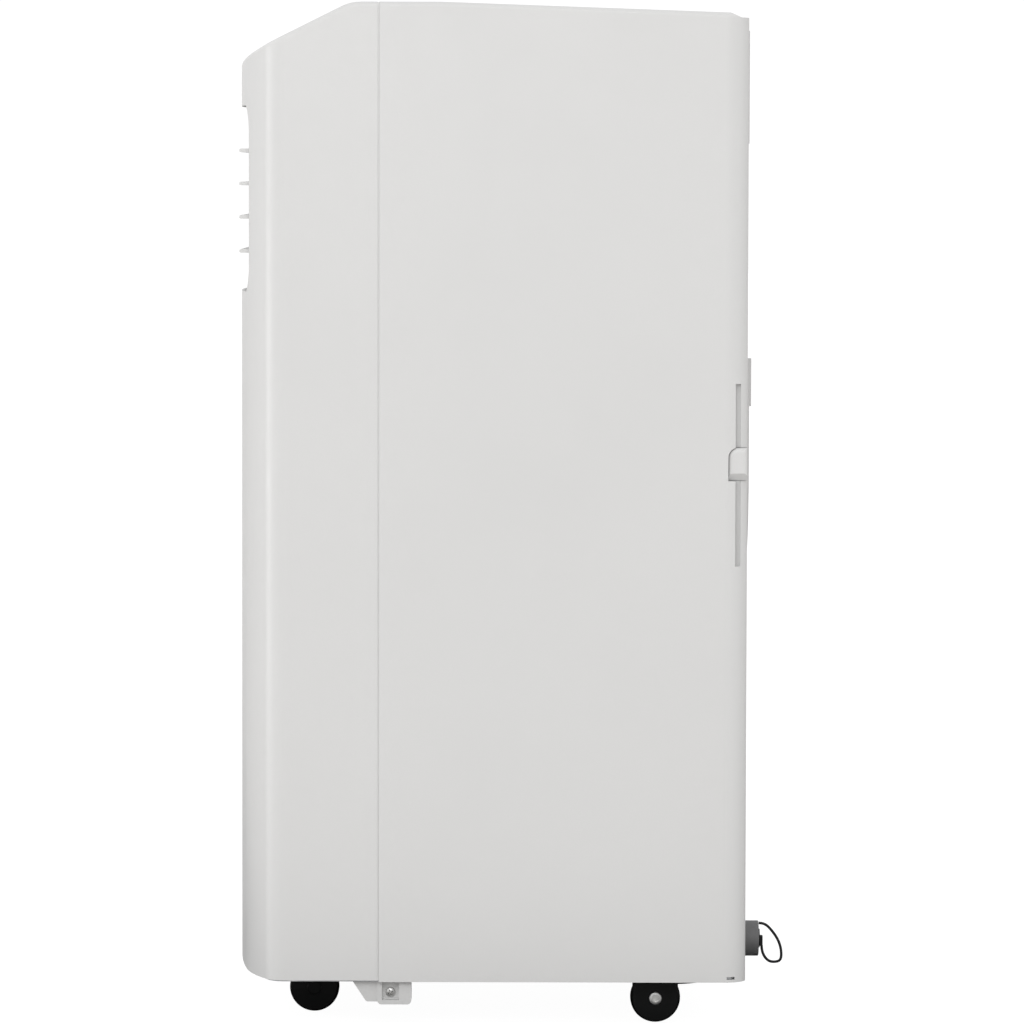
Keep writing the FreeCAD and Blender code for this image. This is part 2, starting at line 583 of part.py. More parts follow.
def make_vane(x):
    front = VANE_AXIS_Y - VANE_CHORD / 2
    rear = VANE_AXIS_Y + VANE_CHORD / 2
    plate = box(x - VANE_THICK / 2, x + VANE_THICK / 2, front, rear, DUCT_Z[0] + 2, DUCT_Z[1] - 2)
    crank_y = VANE_AXIS_Y + VANE_CRANK
    notch = box(x - 2, x + 2, crank_y - 7.5, rear + 1, VANE_LINK_Z - 4, VANE_LINK_Z + 4)
    crank = rod(1.2, (x, crank_y, VANE_LINK_Z - 4.5), (x, crank_y, VANE_LINK_Z + 4.5))
    pivots = [rod(2.0, (x, VANE_AXIS_Y, DUCT_Z[0] - WALL + 0.3), (x, VANE_AXIS_Y, DUCT_Z[0] + 8)),
              rod(2.0, (x, VANE_AXIS_Y, DUCT_Z[1] - 8), (x, VANE_AXIS_Y, DUCT_Z[1] + WALL - 0.3))]
    return fuse([plate.cut(notch), crank] + pivots)


# ---------------------------------------------------------------- upper (room air) circuit
def make_upper_circuit():
    axis_y, axis_z = UPPER_AXIS
    shelf = plan_face(WALL + 0.2).extrude(vec(0, 0, SHELF_Z[1] - SHELF_Z[0]))
    shelf.translate(vec(0, 0, SHELF_Z[0]))
    shelf = shelf.common(box(-HALF, HALF, SEAM_Y - 70, REAR_Y - 3.2, *SHELF_Z))
    tabs = [box(side * (HALF - WALL) - 4 * (side > 0), side * (HALF - WALL) + 4 * (side < 0),
                SEAM_Y + 60, SEAM_Y + 120, SHELF_Z[0], SHELF_Z[1] + 12) for side in (-1, 1)]
    tray = box(-128, 128, 106, 144, SHELF_Z[1], SHELF_Z[1] + 9).cut(box(-126, 126, 108, 142, 450, 480))
    slot = box(-HALF, HALF, SEAM_Y - 6.5, SEAM_Y + 5.5, SHELF_Z[0] - 1, SHELF_Z[1] + 1)
    edge_slots = slot.cut(cabinet_solid(WALL + 1.7, UNDERSIDE))
    holes = [rod(SUCTION_RADIUS + 1, (SUCTION_X, 125, 440), (SUCTION_X, 125, 480)),
             rod(3.0, (CAPILLARY_X, 120, 440), (CAPILLARY_X, 120, 480))]
    PARTS["mid_partition"] = cut(fuse([shelf, tray] + tabs), [edge_slots] + holes)

    plates = []
    for side in (-1, 1):
        x0, x1 = sorted((side * DUCT_HALF, side * (DUCT_HALF + WALL)))
        plate = box(x0, x1, DUCT_REAR_Y, axis_y + 62, SHELF_Z[1], 645)
        plates.append(plate.cut(rod(4 + FIT, (x0 - 1, axis_y, axis_z), (x1 + 1, axis_y, axis_z))))
    radius = UPPER_WHEEL_RADIUS + 8
    guides = [arc_plate(axis_y, axis_z, radius, 2, 215, 330), arc_plate(axis_y, axis_z, radius, 2, 100, 150)]
    for angle, duct_z, thick in ((215, DUCT_Z[0], -2), (150, DUCT_Z[1], 2)):
        lean = math.radians(angle)
        start = (axis_y + radius * math.cos(lean), axis_z + radius * math.sin(lean))
        guides.append(sheet_between((DUCT_REAR_Y, duct_z), start, thick))
    PARTS["upper_scroll"] = fuse(plates + guides)
    make_upper_blower()
    PARTS["evaporator_coil"] = coil(120, (112, 138), (SHELF_Z[1], 676), (520, 660), SHELF_Z[1])


def make_upper_blower():
    """Long tangential blower wheel across the cabinet, and its motor."""
    axis_y, axis_z = UPPER_AXIS
    length = DUCT_HALF - 2.5
    rings = [rod(UPPER_WHEEL_RADIUS, (x, axis_y, axis_z), (x + 1.6, axis_y, axis_z))
             for x in (-length, -length / 2, -0.8, length / 2 - 1.6, length - 1.6)]
    rings = [ring.cut(rod(UPPER_WHEEL_RADIUS - 12, (-200, axis_y, axis_z), (200, axis_y, axis_z)))
             if 0 < index < 4 else ring for index, ring in enumerate(rings)]
    blades = []
    for step in range(24):
        blade = box(-length, length, axis_y + UPPER_WHEEL_RADIUS - 11, axis_y + UPPER_WHEEL_RADIUS - 1,
                    axis_z - 0.6, axis_z + 0.6)
        blade.rotate(vec(0, axis_y + UPPER_WHEEL_RADIUS - 6, axis_z), vec(1, 0, 0), 35)
        blade.rotate(vec(0, axis_y, axis_z), vec(1, 0, 0), step * 15)
        blades.append(blade)
    shafts = [rod(4.0, (-DUCT_HALF - 16, axis_y, axis_z), (-length, axis_y, axis_z)),
              rod(4.0, (length, axis_y, axis_z), (DUCT_HALF + WALL, axis_y, axis_z))]
    PARTS["upper_blower"] = fuse(rings + blades + shafts)

    motor_x = -DUCT_HALF - WALL
    can = rod(32.0, (motor_x - 34, axis_y, axis_z), (motor_x, axis_y, axis_z))
    can = can.makeFillet(4.0, [e for e in can.Edges if e.BoundBox.XMax < motor_x - 30])
    bore = rod(4.0 + FIT, (motor_x - 16, axis_y, axis_z), (motor_x + 1, axis_y, axis_z))
    PARTS["upper_motor"] = can.cut(bore)


def arc_plate(y, z, radius, thick, start, end):
    """Curved guide plate about the X axis line through (y, z); angles from +Y towards +Z."""
    ring = pipe_section(radius + thick, radius, (-DUCT_HALF, y, z), (DUCT_HALF, y, z))
    reach = 2 * radius
    angles = [math.radians(start + (end - start) * step / 4) for step in range(5)]
    wedge = [(y, z)] + [(y + reach * math.cos(a), z + reach * math.sin(a)) for a in angles]
    return ring.common(prism_x(wedge, -DUCT_HALF, DUCT_HALF))


def sheet_between(start, end, thick):
    """Flat guide plate between two (y, z) points, thick in z."""
    outline = [start, end, (end[0], end[1] + thick), (start[0], start[1] + thick)]
    return prism_x(outline, -DUCT_HALF, DUCT_HALF)


def coil(half_x, y_range, z_range, bend_range, floor):
    """Finned block on a stand, with end plates and a column of return bends on each end."""
    y0, y1 = y_range
    z0, z1 = z_range
    fins = box(2 - half_x, half_x - 2, y0, y1, z0, z1)
    ends = [box(-half_x, 2 - half_x, y0 - 2, y1 + 2, z0, z1 + 2),
            box(half_x - 2, half_x, y0 - 2, y1 + 2, z0, z1 + 2)]
    bends = []
    middle = (y0 + y1) / 2
    count = 4
    step = (bend_range[1] - bend_range[0]) / (count - 1)
    for index in range(count):
        z = bend_range[0] + index * step
        for side in (-1, 1):
            ring = Part.makeTorus(8.0, 3.5, vec(side * half_x, middle, z), vec(0, 1, 0))
            half = box(min(0, side * 200), max(0, side * 200), 0, 200, 0, 800)
            half.translate(vec(side * half_x, 0, 0))
            bends.append(ring.common(half))
    stand = [box(-half_x + 20, half_x - 20, y0 + 4, y1 - 4, floor, z0)] if z0 > floor else []
    return fuse([fins] + ends + bends + stand)


# ---------------------------------------------------------------- lower (condenser) circuit
def make_lower_circuit():
    y0, y1 = LOWER_SCROLL_Y
    z = LOWER_AXIS_Z
    casing = rod(84.0, (0, y0, z), (0, y1, z)).fuse(box(-2, 84, y0, y1, z, DUCT_FLOOR))
    hollow = rod(82.0, (0, y0 + 2, z), (0, y1 - 2, z)).fuse(box(0, 82, y0 + 2, y1 - 2, z, DUCT_FLOOR + 5))
    inlet = rod(50.0, (0, y1 - 5, z), (0, y1 + 5, z))
    shaft_hole = rod(4.0 + FIT, (0, y0 - 5, z), (0, y0 + 5, z))
    feet = [box(x - 15, x + 15, y0, y1, UNDERSIDE + WALL, z - 60) for x in (-55, 55)]
    body = casing.fuse(group(feet))
    PARTS["lower_scroll"] = cut(body, [hollow, inlet, shaft_hole]).removeSplitter()

    back = rod(LOWER_WHEEL_RADIUS, (0, y0 + 6, z), (0, y0 + 8, z))
    rim = pipe_section(LOWER_WHEEL_RADIUS, LOWER_WHEEL_RADIUS - 12, (0, y1 - 10, z), (0, y1 - 8, z))
    hub = rod(12.0, (0, y0 + 6, z), (0, y0 + 30, z))
    shaft = rod(4.0, (0, y0 - 20, z), (0, y0 + 6, z))
    blades = []
    for step in range(30):
        blade = box(LOWER_WHEEL_RADIUS - 13, LOWER_WHEEL_RADIUS - 1, y0 + 7, y1 - 9, z - 0.6, z + 0.6)
        blade.rotate(vec(LOWER_WHEEL_RADIUS - 7, 0, z), vec(0, 1, 0), 30)
        blade.rotate(vec(0, 0, z), vec(0, 1, 0), step * 12)
        blades.append(blade)
    PARTS["lower_blower"] = fuse([back, rim, hub, shaft] + blades)

    can = rod(38.0, (0, y0 - 44, z), (0, y0, z))
    can = can.makeFillet(4.0, [e for e in can.Edges if e.BoundBox.YMax < y0 - 40])
    PARTS["lower_motor"] = can.cut(rod(4.0 + FIT, (0, y0 - 21, z), (0, y0 + 1, z)))

    PARTS["condenser_coil"] = coil(120, (128, 156), (46, 300), (150, 270), UNDERSIDE + WALL)
    make_exhaust()
    make_compressor()
    make_pipes()


def make_exhaust():
    y0 = LOWER_SCROLL_Y[0]
    y1 = REAR_Y - 20
    outer = box(-84, 84, y0, y1, DUCT_FLOOR, 448)
    inner = box(-82, 82, y0 + 2, y1 - 2, DUCT_FLOOR + 2, 446)
    inlet = box(0, 82, y0 + 2, LOWER_SCROLL_Y[1] - 2, DUCT_FLOOR - 1, DUCT_FLOOR + 3)
    outlet = rod(PORT_RADIUS + 1.5, (0, y1 - 5, PORT_Z), (0, y1 + 5, PORT_Z))
    reach = PORT_RADIUS + 3.5
    bars = [box(x - 1, x + 1, y1 - 2, y1, PORT_Z - reach, PORT_Z + reach) for x in range(-54, 55, 12)]
    bars += [box(-reach, reach, y1 - 2, y1, PORT_Z + dz - 1, PORT_Z + dz + 1) for dz in (-24, 24)]
    duct = cut(outer, [inner, inlet, outlet])
    PARTS["exhaust_duct"] = fuse([duct] + bars)

    tube = rod(PORT_RADIUS + PORT_WALL, (0, y1, PORT_Z), (0, REAR_Y + 1.5, PORT_Z))
    plate = box(-80, 80, REAR_Y, REAR_Y + 1.5, PORT_Z - 78, RAIL_Z[2])
    corners = [e for e in plate.Edges if e.BoundBox.YLength > 1 and e.BoundBox.ZLength < 0.1]
    plate = plate.makeFillet(4.0, corners)
    low, high = RAIL_PROUD
    rails = []
    for side in (-1, 1):
        for x0, x1, back in ((72, 75, 0.0), (68.5, 75, 2.6)):
            a, b = sorted((side * x0, side * x1))
            rails.append(box(a, b, REAR_Y + back, REAR_Y + low, RAIL_Z[0], RAIL_Z[1]))
            rails.append(box(a, b, REAR_Y + back, REAR_Y + high, RAIL_Z[1], RAIL_Z[2]))
    stop = pipe_section(74.0, 71.0, (0, REAR_Y, PORT_Z), (0, REAR_Y + low, PORT_Z))
    stop = stop.common(box(-80, 80, REAR_Y, REAR_Y + 10, 250, RAIL_Z[0] + 1))
    bore = rod(PORT_RADIUS, (0, y1 - 5, PORT_Z), (0, REAR_Y + 10, PORT_Z))
    PARTS["exhaust_ring"] = fuse([tube, plate, stop] + rails).cut(bore)


def make_compressor():
    x, y = COMPRESSOR_XY
    floor = UNDERSIDE + WALL
    body = rod(54.0, (x, y, floor + 14), (x, y, 236))
    body = body.makeFillet(22.0, [e for e in body.Edges if e.BoundBox.ZLength < 0.1])
    plate = rounded_prism(58, 62, 20.0, floor + 10, floor + 13, (x, y))
    skirt = rod(28.0, (x, y, floor + 12), (x, y, floor + 30))
    feet = [rod(9.0, (x + dx, y + dy, floor), (x + dx, y + dy, floor + 10))
            for dx, dy in ((-46, -48), (46, -48), (0, 50))]
    cap = rod(18.0, (x + 8, y, 225), (x + 8, y, 244))
    top_port = rod(6.0, (x - 22, y, 225), (x - 22, y, 242))
    ax, ay = ACCUMULATOR_XY
    side_port = rod(8.0, (x + 30, ay, 62), (x + 58, ay, 62))
    PARTS["compressor"] = fuse([body, plate, skirt, cap, top_port, side_port] + feet)

    bottle = rod(21.0, (ax, ay, 80), (ax, ay, 200))
    bottle = bottle.makeFillet(12.0, [e for e in bottle.Edges if e.BoundBox.ZLength < 0.1])
    neck = rod(6.0, (ax, ay, 195), (ax, ay, 206))
    elbow = tube_along([(x + 58, ay, 62), (ax, ay, 62), (ax, ay, 82)], 9.0)
    PARTS["accumulator"] = fuse([bottle, neck, elbow])


def make_pipes():
    x, y = COMPRESSOR_XY
    ax, ay = ACCUMULATOR_XY
    suction = tube_along([(ax, ay, 206), (ax, ay, 420), (SUCTION_X, -20, 420), (SUCTION_X, 125, 400),
                          (SUCTION_X, 125, 500), (120, 125, 500)], 2 * SUCTION_RADIUS)
    discharge = tube_along([(x - 22, y, 242), (x - 22, y, 330), (-152, 0, 330), (-152, 142, 330),
                            (-152, 142, 288), (-120, 142, 288)], 8.0)
    capillary = tube_along([(-120, 142, 120), (CAPILLARY_X, 142, 120), (CAPILLARY_X, 120, 150),
                            (CAPILLARY_X, 120, 490), (-120, 120, 490)], 4.0)
    PARTS["refrigerant_pipes"] = group([suction, discharge, capillary])


# ---------------------------------------------------------------- rear grilles
def make_grilles():
    ux, uz0, uz1 = UPPER_OPENING
    inner_y = REAR_Y - 6.5
    frame = grille(ux - 0.5, uz0 + 0.7, uz1 - 0.5, inner_y)
    tab = box(-22, 22, REAR_Y, REAR_Y + 2.2, uz1 - 9, uz1 - 2)
    grip = box(-ux + 1.5, ux - 1.5, REAR_Y - 1, REAR_Y + GRIP_PROUD, *GRIP_Z)
    grip = grip.cut(box(-ux + 6, ux - 6, REAR_Y - 2, REAR_Y + 3, GRIP_Z[0] + 5, GRIP_Z[1] - 5))
    PARTS["filter_grille"] = fuse([frame, tab, grip])
    PARTS["filter_mesh"] = box(-ux + 4, ux - 4, inner_y - 1.2, inner_y, uz0 + 5, uz1 - 5)

    lx, lz0, lz1 = LOWER_OPENING
    PARTS["lower_grille"] = grille(lx, lz0, lz1, REAR_Y - 5)


def grille(half_x, z0, z1, inner_y):
    """Framed panel with level slats that stand a little proud, and two uprights."""
    border = 7.0
    rim = box(-half_x, half_x, inner_y, REAR_Y, z0, z1)
    rim = rim.cut(box(border - half_x, half_x - border, inner_y - 1, REAR_Y + 1, z0 + border, z1 - border))
    slats = []
    z = z0 + border + RIB_PITCH / 2
    while z < z1 - border - 2:
        slats.append(box(-half_x + 1.5, half_x - 1.5, inner_y + 2, REAR_Y + RIB_PROUD,
                         z - RIB_THICK / 2, z + RIB_THICK / 2))
        z += RIB_PITCH
    uprights = [box(x - 1.5, x + 1.5, inner_y, REAR_Y - 1, z0 + 3, z1 - 3) for x in (-66, 0, 66)]
    return fuse([rim] + slats + uprights)


# ---------------------------------------------------------------- drains and cord inlet
def make_drain_cap():
    """Upper drain: its neck inside the rear corner and the bell-shaped cap over it."""
    wall_y = REAR_Y - CAP_DEPTH - GAP
    neck = pipe_section(7.0, 4.5, (CAP_X, wall_y - 14, CAP_Z), (CAP_X, wall_y + 7, CAP_Z))
    flange_y = REAR_Y - CAP_DEPTH - 6
    flange = pipe_section(9.0, 4.5, (CAP_X, flange_y, CAP_Z), (CAP_X, flange_y + 2, CAP_Z))
    PARTS["drain_neck"] = fuse([neck, flange])
    cap = cap_block(0.0, HALF - 0.7, REAR_Y - 0.4)
    outer = [e for e in cap.Edges if e.BoundBox.XMin > HALF - 1 and e.BoundBox.YLength > 2
             and e.BoundBox.ZMax < CAP_Z]
    cap = cap.makeChamfer(5.0, outer)
    softened = [e for e in cap.Edges if e.BoundBox.XMin > HALF - 1 and e.BoundBox.ZMax > CAP_Z + 4]
    cap = cap.makeFillet(3.0, softened)
    cap = cap.cut(rod(7.0 + GAP, (CAP_X, REAR_Y - 20, CAP_Z), (CAP_X, wall_y + 7 + GAP, CAP_Z)))
    plug = rod(4.5 - GAP, (CAP_X, wall_y + 1, CAP_Z), (CAP_X, wall_y + 7 + GAP, CAP_Z))
    PARTS["drain_cap"] = fuse([cap, plug])


def make_collar():
    """Lower drain collar with its rubber stopper and the thin leash between them."""
    end_y = REAR_Y + COLLAR_PROUD
    collar = rod(COLLAR_RADIUS, (COLLAR_X, REAR_Y - 12, COLLAR_Z), (COLLAR_X, end_y, COLLAR_Z))
    collar = collar.makeFillet(0.8, [e for e in collar.Edges if e.BoundBox.YMin > REAR_Y + 1])
    bore = rod(6.0, (COLLAR_X, REAR_Y - 15, COLLAR_Z), (COLLAR_X, end_y + 5, COLLAR_Z))
    PARTS["drain_collar"] = collar.cut(bore)
    plug = rod(6.0 - GAP, (COLLAR_X, end_y - 10, COLLAR_Z), (COLLAR_X, end_y + GAP, COLLAR_Z))
    lip = rod(6.6, (COLLAR_X, end_y + GAP, COLLAR_Z), (COLLAR_X, end_y + 0.9, COLLAR_Z))
    nub = box(COLLAR_X - 3.5, COLLAR_X + 3.5, end_y + 0.5, REAR_Y + DRAIN_PROUD,
              COLLAR_Z - 5.2, COLLAR_Z + 1.8)
    PARTS["drain_stopper"] = fuse([plug, lip, nub])

    nub_y = REAR_Y + DRAIN_PROUD - 0.6
    route = [(end_y + GAP, 61.6), (186.4, 61.6), (191.6, 56.4), (196.2, 49.6), (198.3, 42.4), (198.1, 35.4),
             (193.6, 34.0), (188.4, 35.0), (nub_y, 41.4), (nub_y, COLLAR_Z - 5.2)]
    PARTS["drain_leash"] = tube_along([(COLLAR_X, y, z) for y, z in route], LEASH_DIAMETER, "drain_leash")


def make_gland():
    """Empty inlet for the mains cord."""
    flange = rod(11.0, (GLAND_X, REAR_Y, GLAND_Z), (GLAND_X, REAR_Y + 2.5, GLAND_Z))
    body = rod(8.0, (GLAND_X, REAR_Y - 6, GLAND_Z), (GLAND_X, REAR_Y, GLAND_Z))
    bore = rod(3.6, (GLAND_X, REAR_Y - 10, GLAND_Z), (GLAND_X, REAR_Y + 5, GLAND_Z))
    PARTS["cord_gland"] = fuse([flange, body]).cut(bore)


# ---------------------------------------------------------------- build
make_shells()
make_base_pan()
make_brackets()
make_screws()
make_casters()
make_panel()
make_outlet()
make_upper_circuit()
make_lower_circuit()
make_grilles()
make_drain_cap()
make_collar()
make_gland()

os.makedirs("parts", exist_ok=True)
for node, shape in sorted(PARTS.items()):
    shape.exportStep("parts/" + node + ".step")
    state = "valid" if shape.isValid() else "NOT VALID"
    print(node, len(shape.Solids), "solids", round(shape.Volume), "mm3", state)
print(len(PARTS), "nodes")
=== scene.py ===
import json
import math

import bmesh
import bpy
from mathutils import Matrix, Vector


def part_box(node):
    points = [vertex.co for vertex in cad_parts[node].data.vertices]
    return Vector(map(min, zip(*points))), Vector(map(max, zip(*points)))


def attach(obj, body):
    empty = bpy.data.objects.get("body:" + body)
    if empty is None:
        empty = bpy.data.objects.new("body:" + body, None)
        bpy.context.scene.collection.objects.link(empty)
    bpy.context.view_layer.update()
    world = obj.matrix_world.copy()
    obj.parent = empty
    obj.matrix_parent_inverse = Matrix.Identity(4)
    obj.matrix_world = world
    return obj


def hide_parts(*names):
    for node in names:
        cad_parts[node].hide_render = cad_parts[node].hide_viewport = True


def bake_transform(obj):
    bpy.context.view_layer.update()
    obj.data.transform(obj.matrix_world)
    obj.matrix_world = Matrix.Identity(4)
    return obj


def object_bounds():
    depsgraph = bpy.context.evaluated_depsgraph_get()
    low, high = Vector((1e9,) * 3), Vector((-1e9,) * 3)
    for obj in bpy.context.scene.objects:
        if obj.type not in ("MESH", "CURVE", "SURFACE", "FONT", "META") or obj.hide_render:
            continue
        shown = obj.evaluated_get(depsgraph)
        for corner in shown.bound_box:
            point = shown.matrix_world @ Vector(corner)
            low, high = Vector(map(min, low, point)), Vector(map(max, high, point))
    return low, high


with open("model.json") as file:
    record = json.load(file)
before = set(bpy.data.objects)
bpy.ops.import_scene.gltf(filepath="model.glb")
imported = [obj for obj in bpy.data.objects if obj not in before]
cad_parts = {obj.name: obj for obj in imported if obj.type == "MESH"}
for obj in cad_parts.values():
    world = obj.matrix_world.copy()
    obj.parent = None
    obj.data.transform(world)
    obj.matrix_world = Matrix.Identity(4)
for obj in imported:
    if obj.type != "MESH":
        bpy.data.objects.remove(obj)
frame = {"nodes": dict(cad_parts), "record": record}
cad_low, cad_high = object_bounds()

CASTERS = ("rear_right", "rear_left", "front_right", "front_left")


# ---------------------------------------------------------------- camera
def make_camera():
    """Product shot of the +X side from four metres, looking down slightly."""
    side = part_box("rear_shell")[1].x
    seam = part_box("rear_shell")[0].y
    distance = 4.0
    rise = 0.2342
    behind_seam = 0.0910
    aim_height = 0.3552
    roll_degrees = 0.12
    aim = Vector((side, seam + behind_seam, aim_height))
    data = bpy.data.cameras.new("camera")
    data.sensor_width = 36.0
    data.lens = 206.0
    data.clip_end = 50.0
    camera = bpy.data.objects.new("camera", data)
    bpy.context.collection.objects.link(camera)
    camera.location = aim + Vector((distance, 0, rise))
    look = (aim - camera.location).to_track_quat("-Z", "Y")
    roll = Matrix.Rotation(math.radians(roll_degrees), 3, "Z").to_quaternion()
    camera.rotation_mode = "QUATERNION"
    camera.rotation_quaternion = look @ roll
    bpy.context.scene.camera = camera


# ---------------------------------------------------------------- mesh helpers
def new_object(name, mesh, material, body):
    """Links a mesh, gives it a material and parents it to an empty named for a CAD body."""
    piece = bpy.data.objects.new(name, mesh)
    bpy.context.collection.objects.link(piece)
    mesh.materials.append(material)
    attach(piece, body)
    return piece


def mesh_from(bm, name, smooth_angle=40.0):
    mesh = bpy.data.meshes.new(name)
    bmesh.ops.recalc_face_normals(bm, faces=bm.faces)
    bm.to_mesh(mesh)
    bm.free()
    smooth_by_angle(mesh, smooth_angle)
    return mesh


def smooth_by_angle(mesh, degrees):
    """Smooth shading, with every edge sharper than the angle marked sharp."""
    work = bmesh.new()
    work.from_mesh(mesh)
    limit = math.radians(degrees)
    for face in work.faces:
        face.smooth = True
    for edge in work.edges:
        if len(edge.link_faces) == 2:
            edge.smooth = edge.calc_face_angle(0.0) < limit
        else:
            edge.smooth = False
    work.to_mesh(mesh)
    work.free()


def lathe(bm, profile, centre, axis, across, steps=48, close=True):
    """Turns (distance along axis, radius) points about an axis through centre."""
    axis = Vector(axis).normalized()
    across = Vector(across).normalized()
    up = axis.cross(across)
    rings = []
    for along, radius in profile:
        ring = []
        for step in range(steps):
            angle = 2 * math.pi * step / steps
            offset = (across * math.cos(angle) + up * math.sin(angle)) * radius
            ring.append(bm.verts.new(Vector(centre) + axis * along + offset))
        rings.append(ring)
    for lower, upper in zip(rings, rings[1:]):
        for step in range(steps):
            after = (step + 1) % steps
            bm.faces.new((lower[step], lower[after], upper[after], upper[step]))
    if close:
        bm.faces.new(rings[0])
        bm.faces.new(rings[-1])
    return rings


def ring_lathe(bm, profile, centre, axis, across, steps=48):
    """Turns a closed loop of (along, radius) points: the first ring joins the last."""
    rings = lathe(bm, profile, centre, axis, across, steps, close=False)
    first, last = rings[0], rings[-1]
    for step in range(steps):
        after = (step + 1) % steps
        bm.faces.new((last[step], last[after], first[after], first[step]))


def block(bm, centre, first, second, third):
    """Block about a centre, reaching out by three half-size vectors and their opposites."""
    corners = [bm.verts.new(Vector(centre) + first * i + second * j + third * k)
               for i in (-1, 1) for j in (-1, 1) for k in (-1, 1)]
    for face in ((0, 1, 3, 2), (4, 6, 7, 5), (0, 4, 5, 1), (2, 3, 7, 6), (0, 2, 6, 4), (1, 5, 7, 3)):
        bm.faces.new([corners[index] for index in face])


def slab(bm, low, high):
    """Axis-aligned block between two corners."""
    low, high = Vector(low), Vector(high)
    half = (high - low) / 2
    block(bm, (low + high) / 2, Vector((half.x, 0, 0)), Vector((0, half.y, 0)), Vector((0, 0, half.z)))


def tube(bm, points, radius, steps=12):
    """Round tube through points, kept from twisting, with both ends capped."""
    points = [Vector(p) for p in points]
    normal = None
    rings = []
    for index, point in enumerate(points):
        before = points[max(index - 1, 0)]
        after = points[min(index + 1, len(points) - 1)]
        along = (after - before).normalized()
        if normal is None:
            normal = along.orthogonal().normalized()
        normal = (normal - along * normal.dot(along)).normalized()
        side = along.cross(normal)
        ring = []
        for step in range(steps):
            angle = 2 * math.pi * step / steps
            ring.append(bm.verts.new(point + (normal * math.cos(angle) + side * math.sin(angle)) * radius))
        rings.append(ring)
    for lower, upper in zip(rings, rings[1:]):
        for step in range(steps):
            after = (step + 1) % steps
            bm.faces.new((lower[step], lower[after], upper[after], upper[step]))
    bm.faces.new(rings[0])
    bm.faces.new(rings[-1])


# ---------------------------------------------------------------- drain leash (the only cord)
def leash_route():
    """Control points from the drain collar round to the stopper's pull tab, in metres."""
    collar_low, collar_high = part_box("drain_collar")
    middle_x = (collar_low.x + collar_high.x) / 2
    middle_z = (collar_low.z + collar_high.z) / 2
    end_y = collar_high.y
    tab_inset = 0.0006
    tab_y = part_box("drain_stopper")[1].y - tab_inset - end_y
    offsets = [(0.0003, 0.0106), (0.0044, 0.0106), (0.0096, 0.0054), (0.0142, -0.0014), (0.0163, -0.0086),
               (0.0161, -0.0156), (0.0116, -0.0170), (0.0064, -0.0160), (tab_y, -0.0096), (tab_y, -0.0052)]
    return [Vector((middle_x, end_y + y, middle_z + z)) for y, z in offsets]


def leash_line(route):
    """Points along the smooth NURBS line that has the route as its control points."""
    data = bpy.data.curves.new("leash_route", "CURVE")
    data.dimensions = "3D"
    data.resolution_u = 12
    spline = data.splines.new("NURBS")
    spline.points.add(len(route) - 1)
    for point, place in zip(spline.points, route):
        point.co = (*place, 1.0)
    spline.order_u = 3
    spline.use_endpoint_u = True
    guide = bpy.data.objects.new("leash_route", data)
    line = [Vector(v.co) for v in bpy.data.meshes.new_from_object(guide).vertices]
    bpy.data.objects.remove(guide)
    return line


def make_leash(material):
    """Thin black strap from the drain collar round to the stopper's pull tab.

    It is held at both ends."""
    low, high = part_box("drain_leash")
    diameter = high.x - low.x
    line = leash_line(leash_route())
    bm = bmesh.new()
    tube(bm, line, diameter / 2, steps=14)
    mesh = mesh_from(bm, "leash", 60)
    mesh.materials.append(material)
    leash = bpy.data.objects.new("leash", mesh)
    bpy.context.collection.objects.link(leash)
    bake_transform(leash)
    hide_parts("drain_leash")


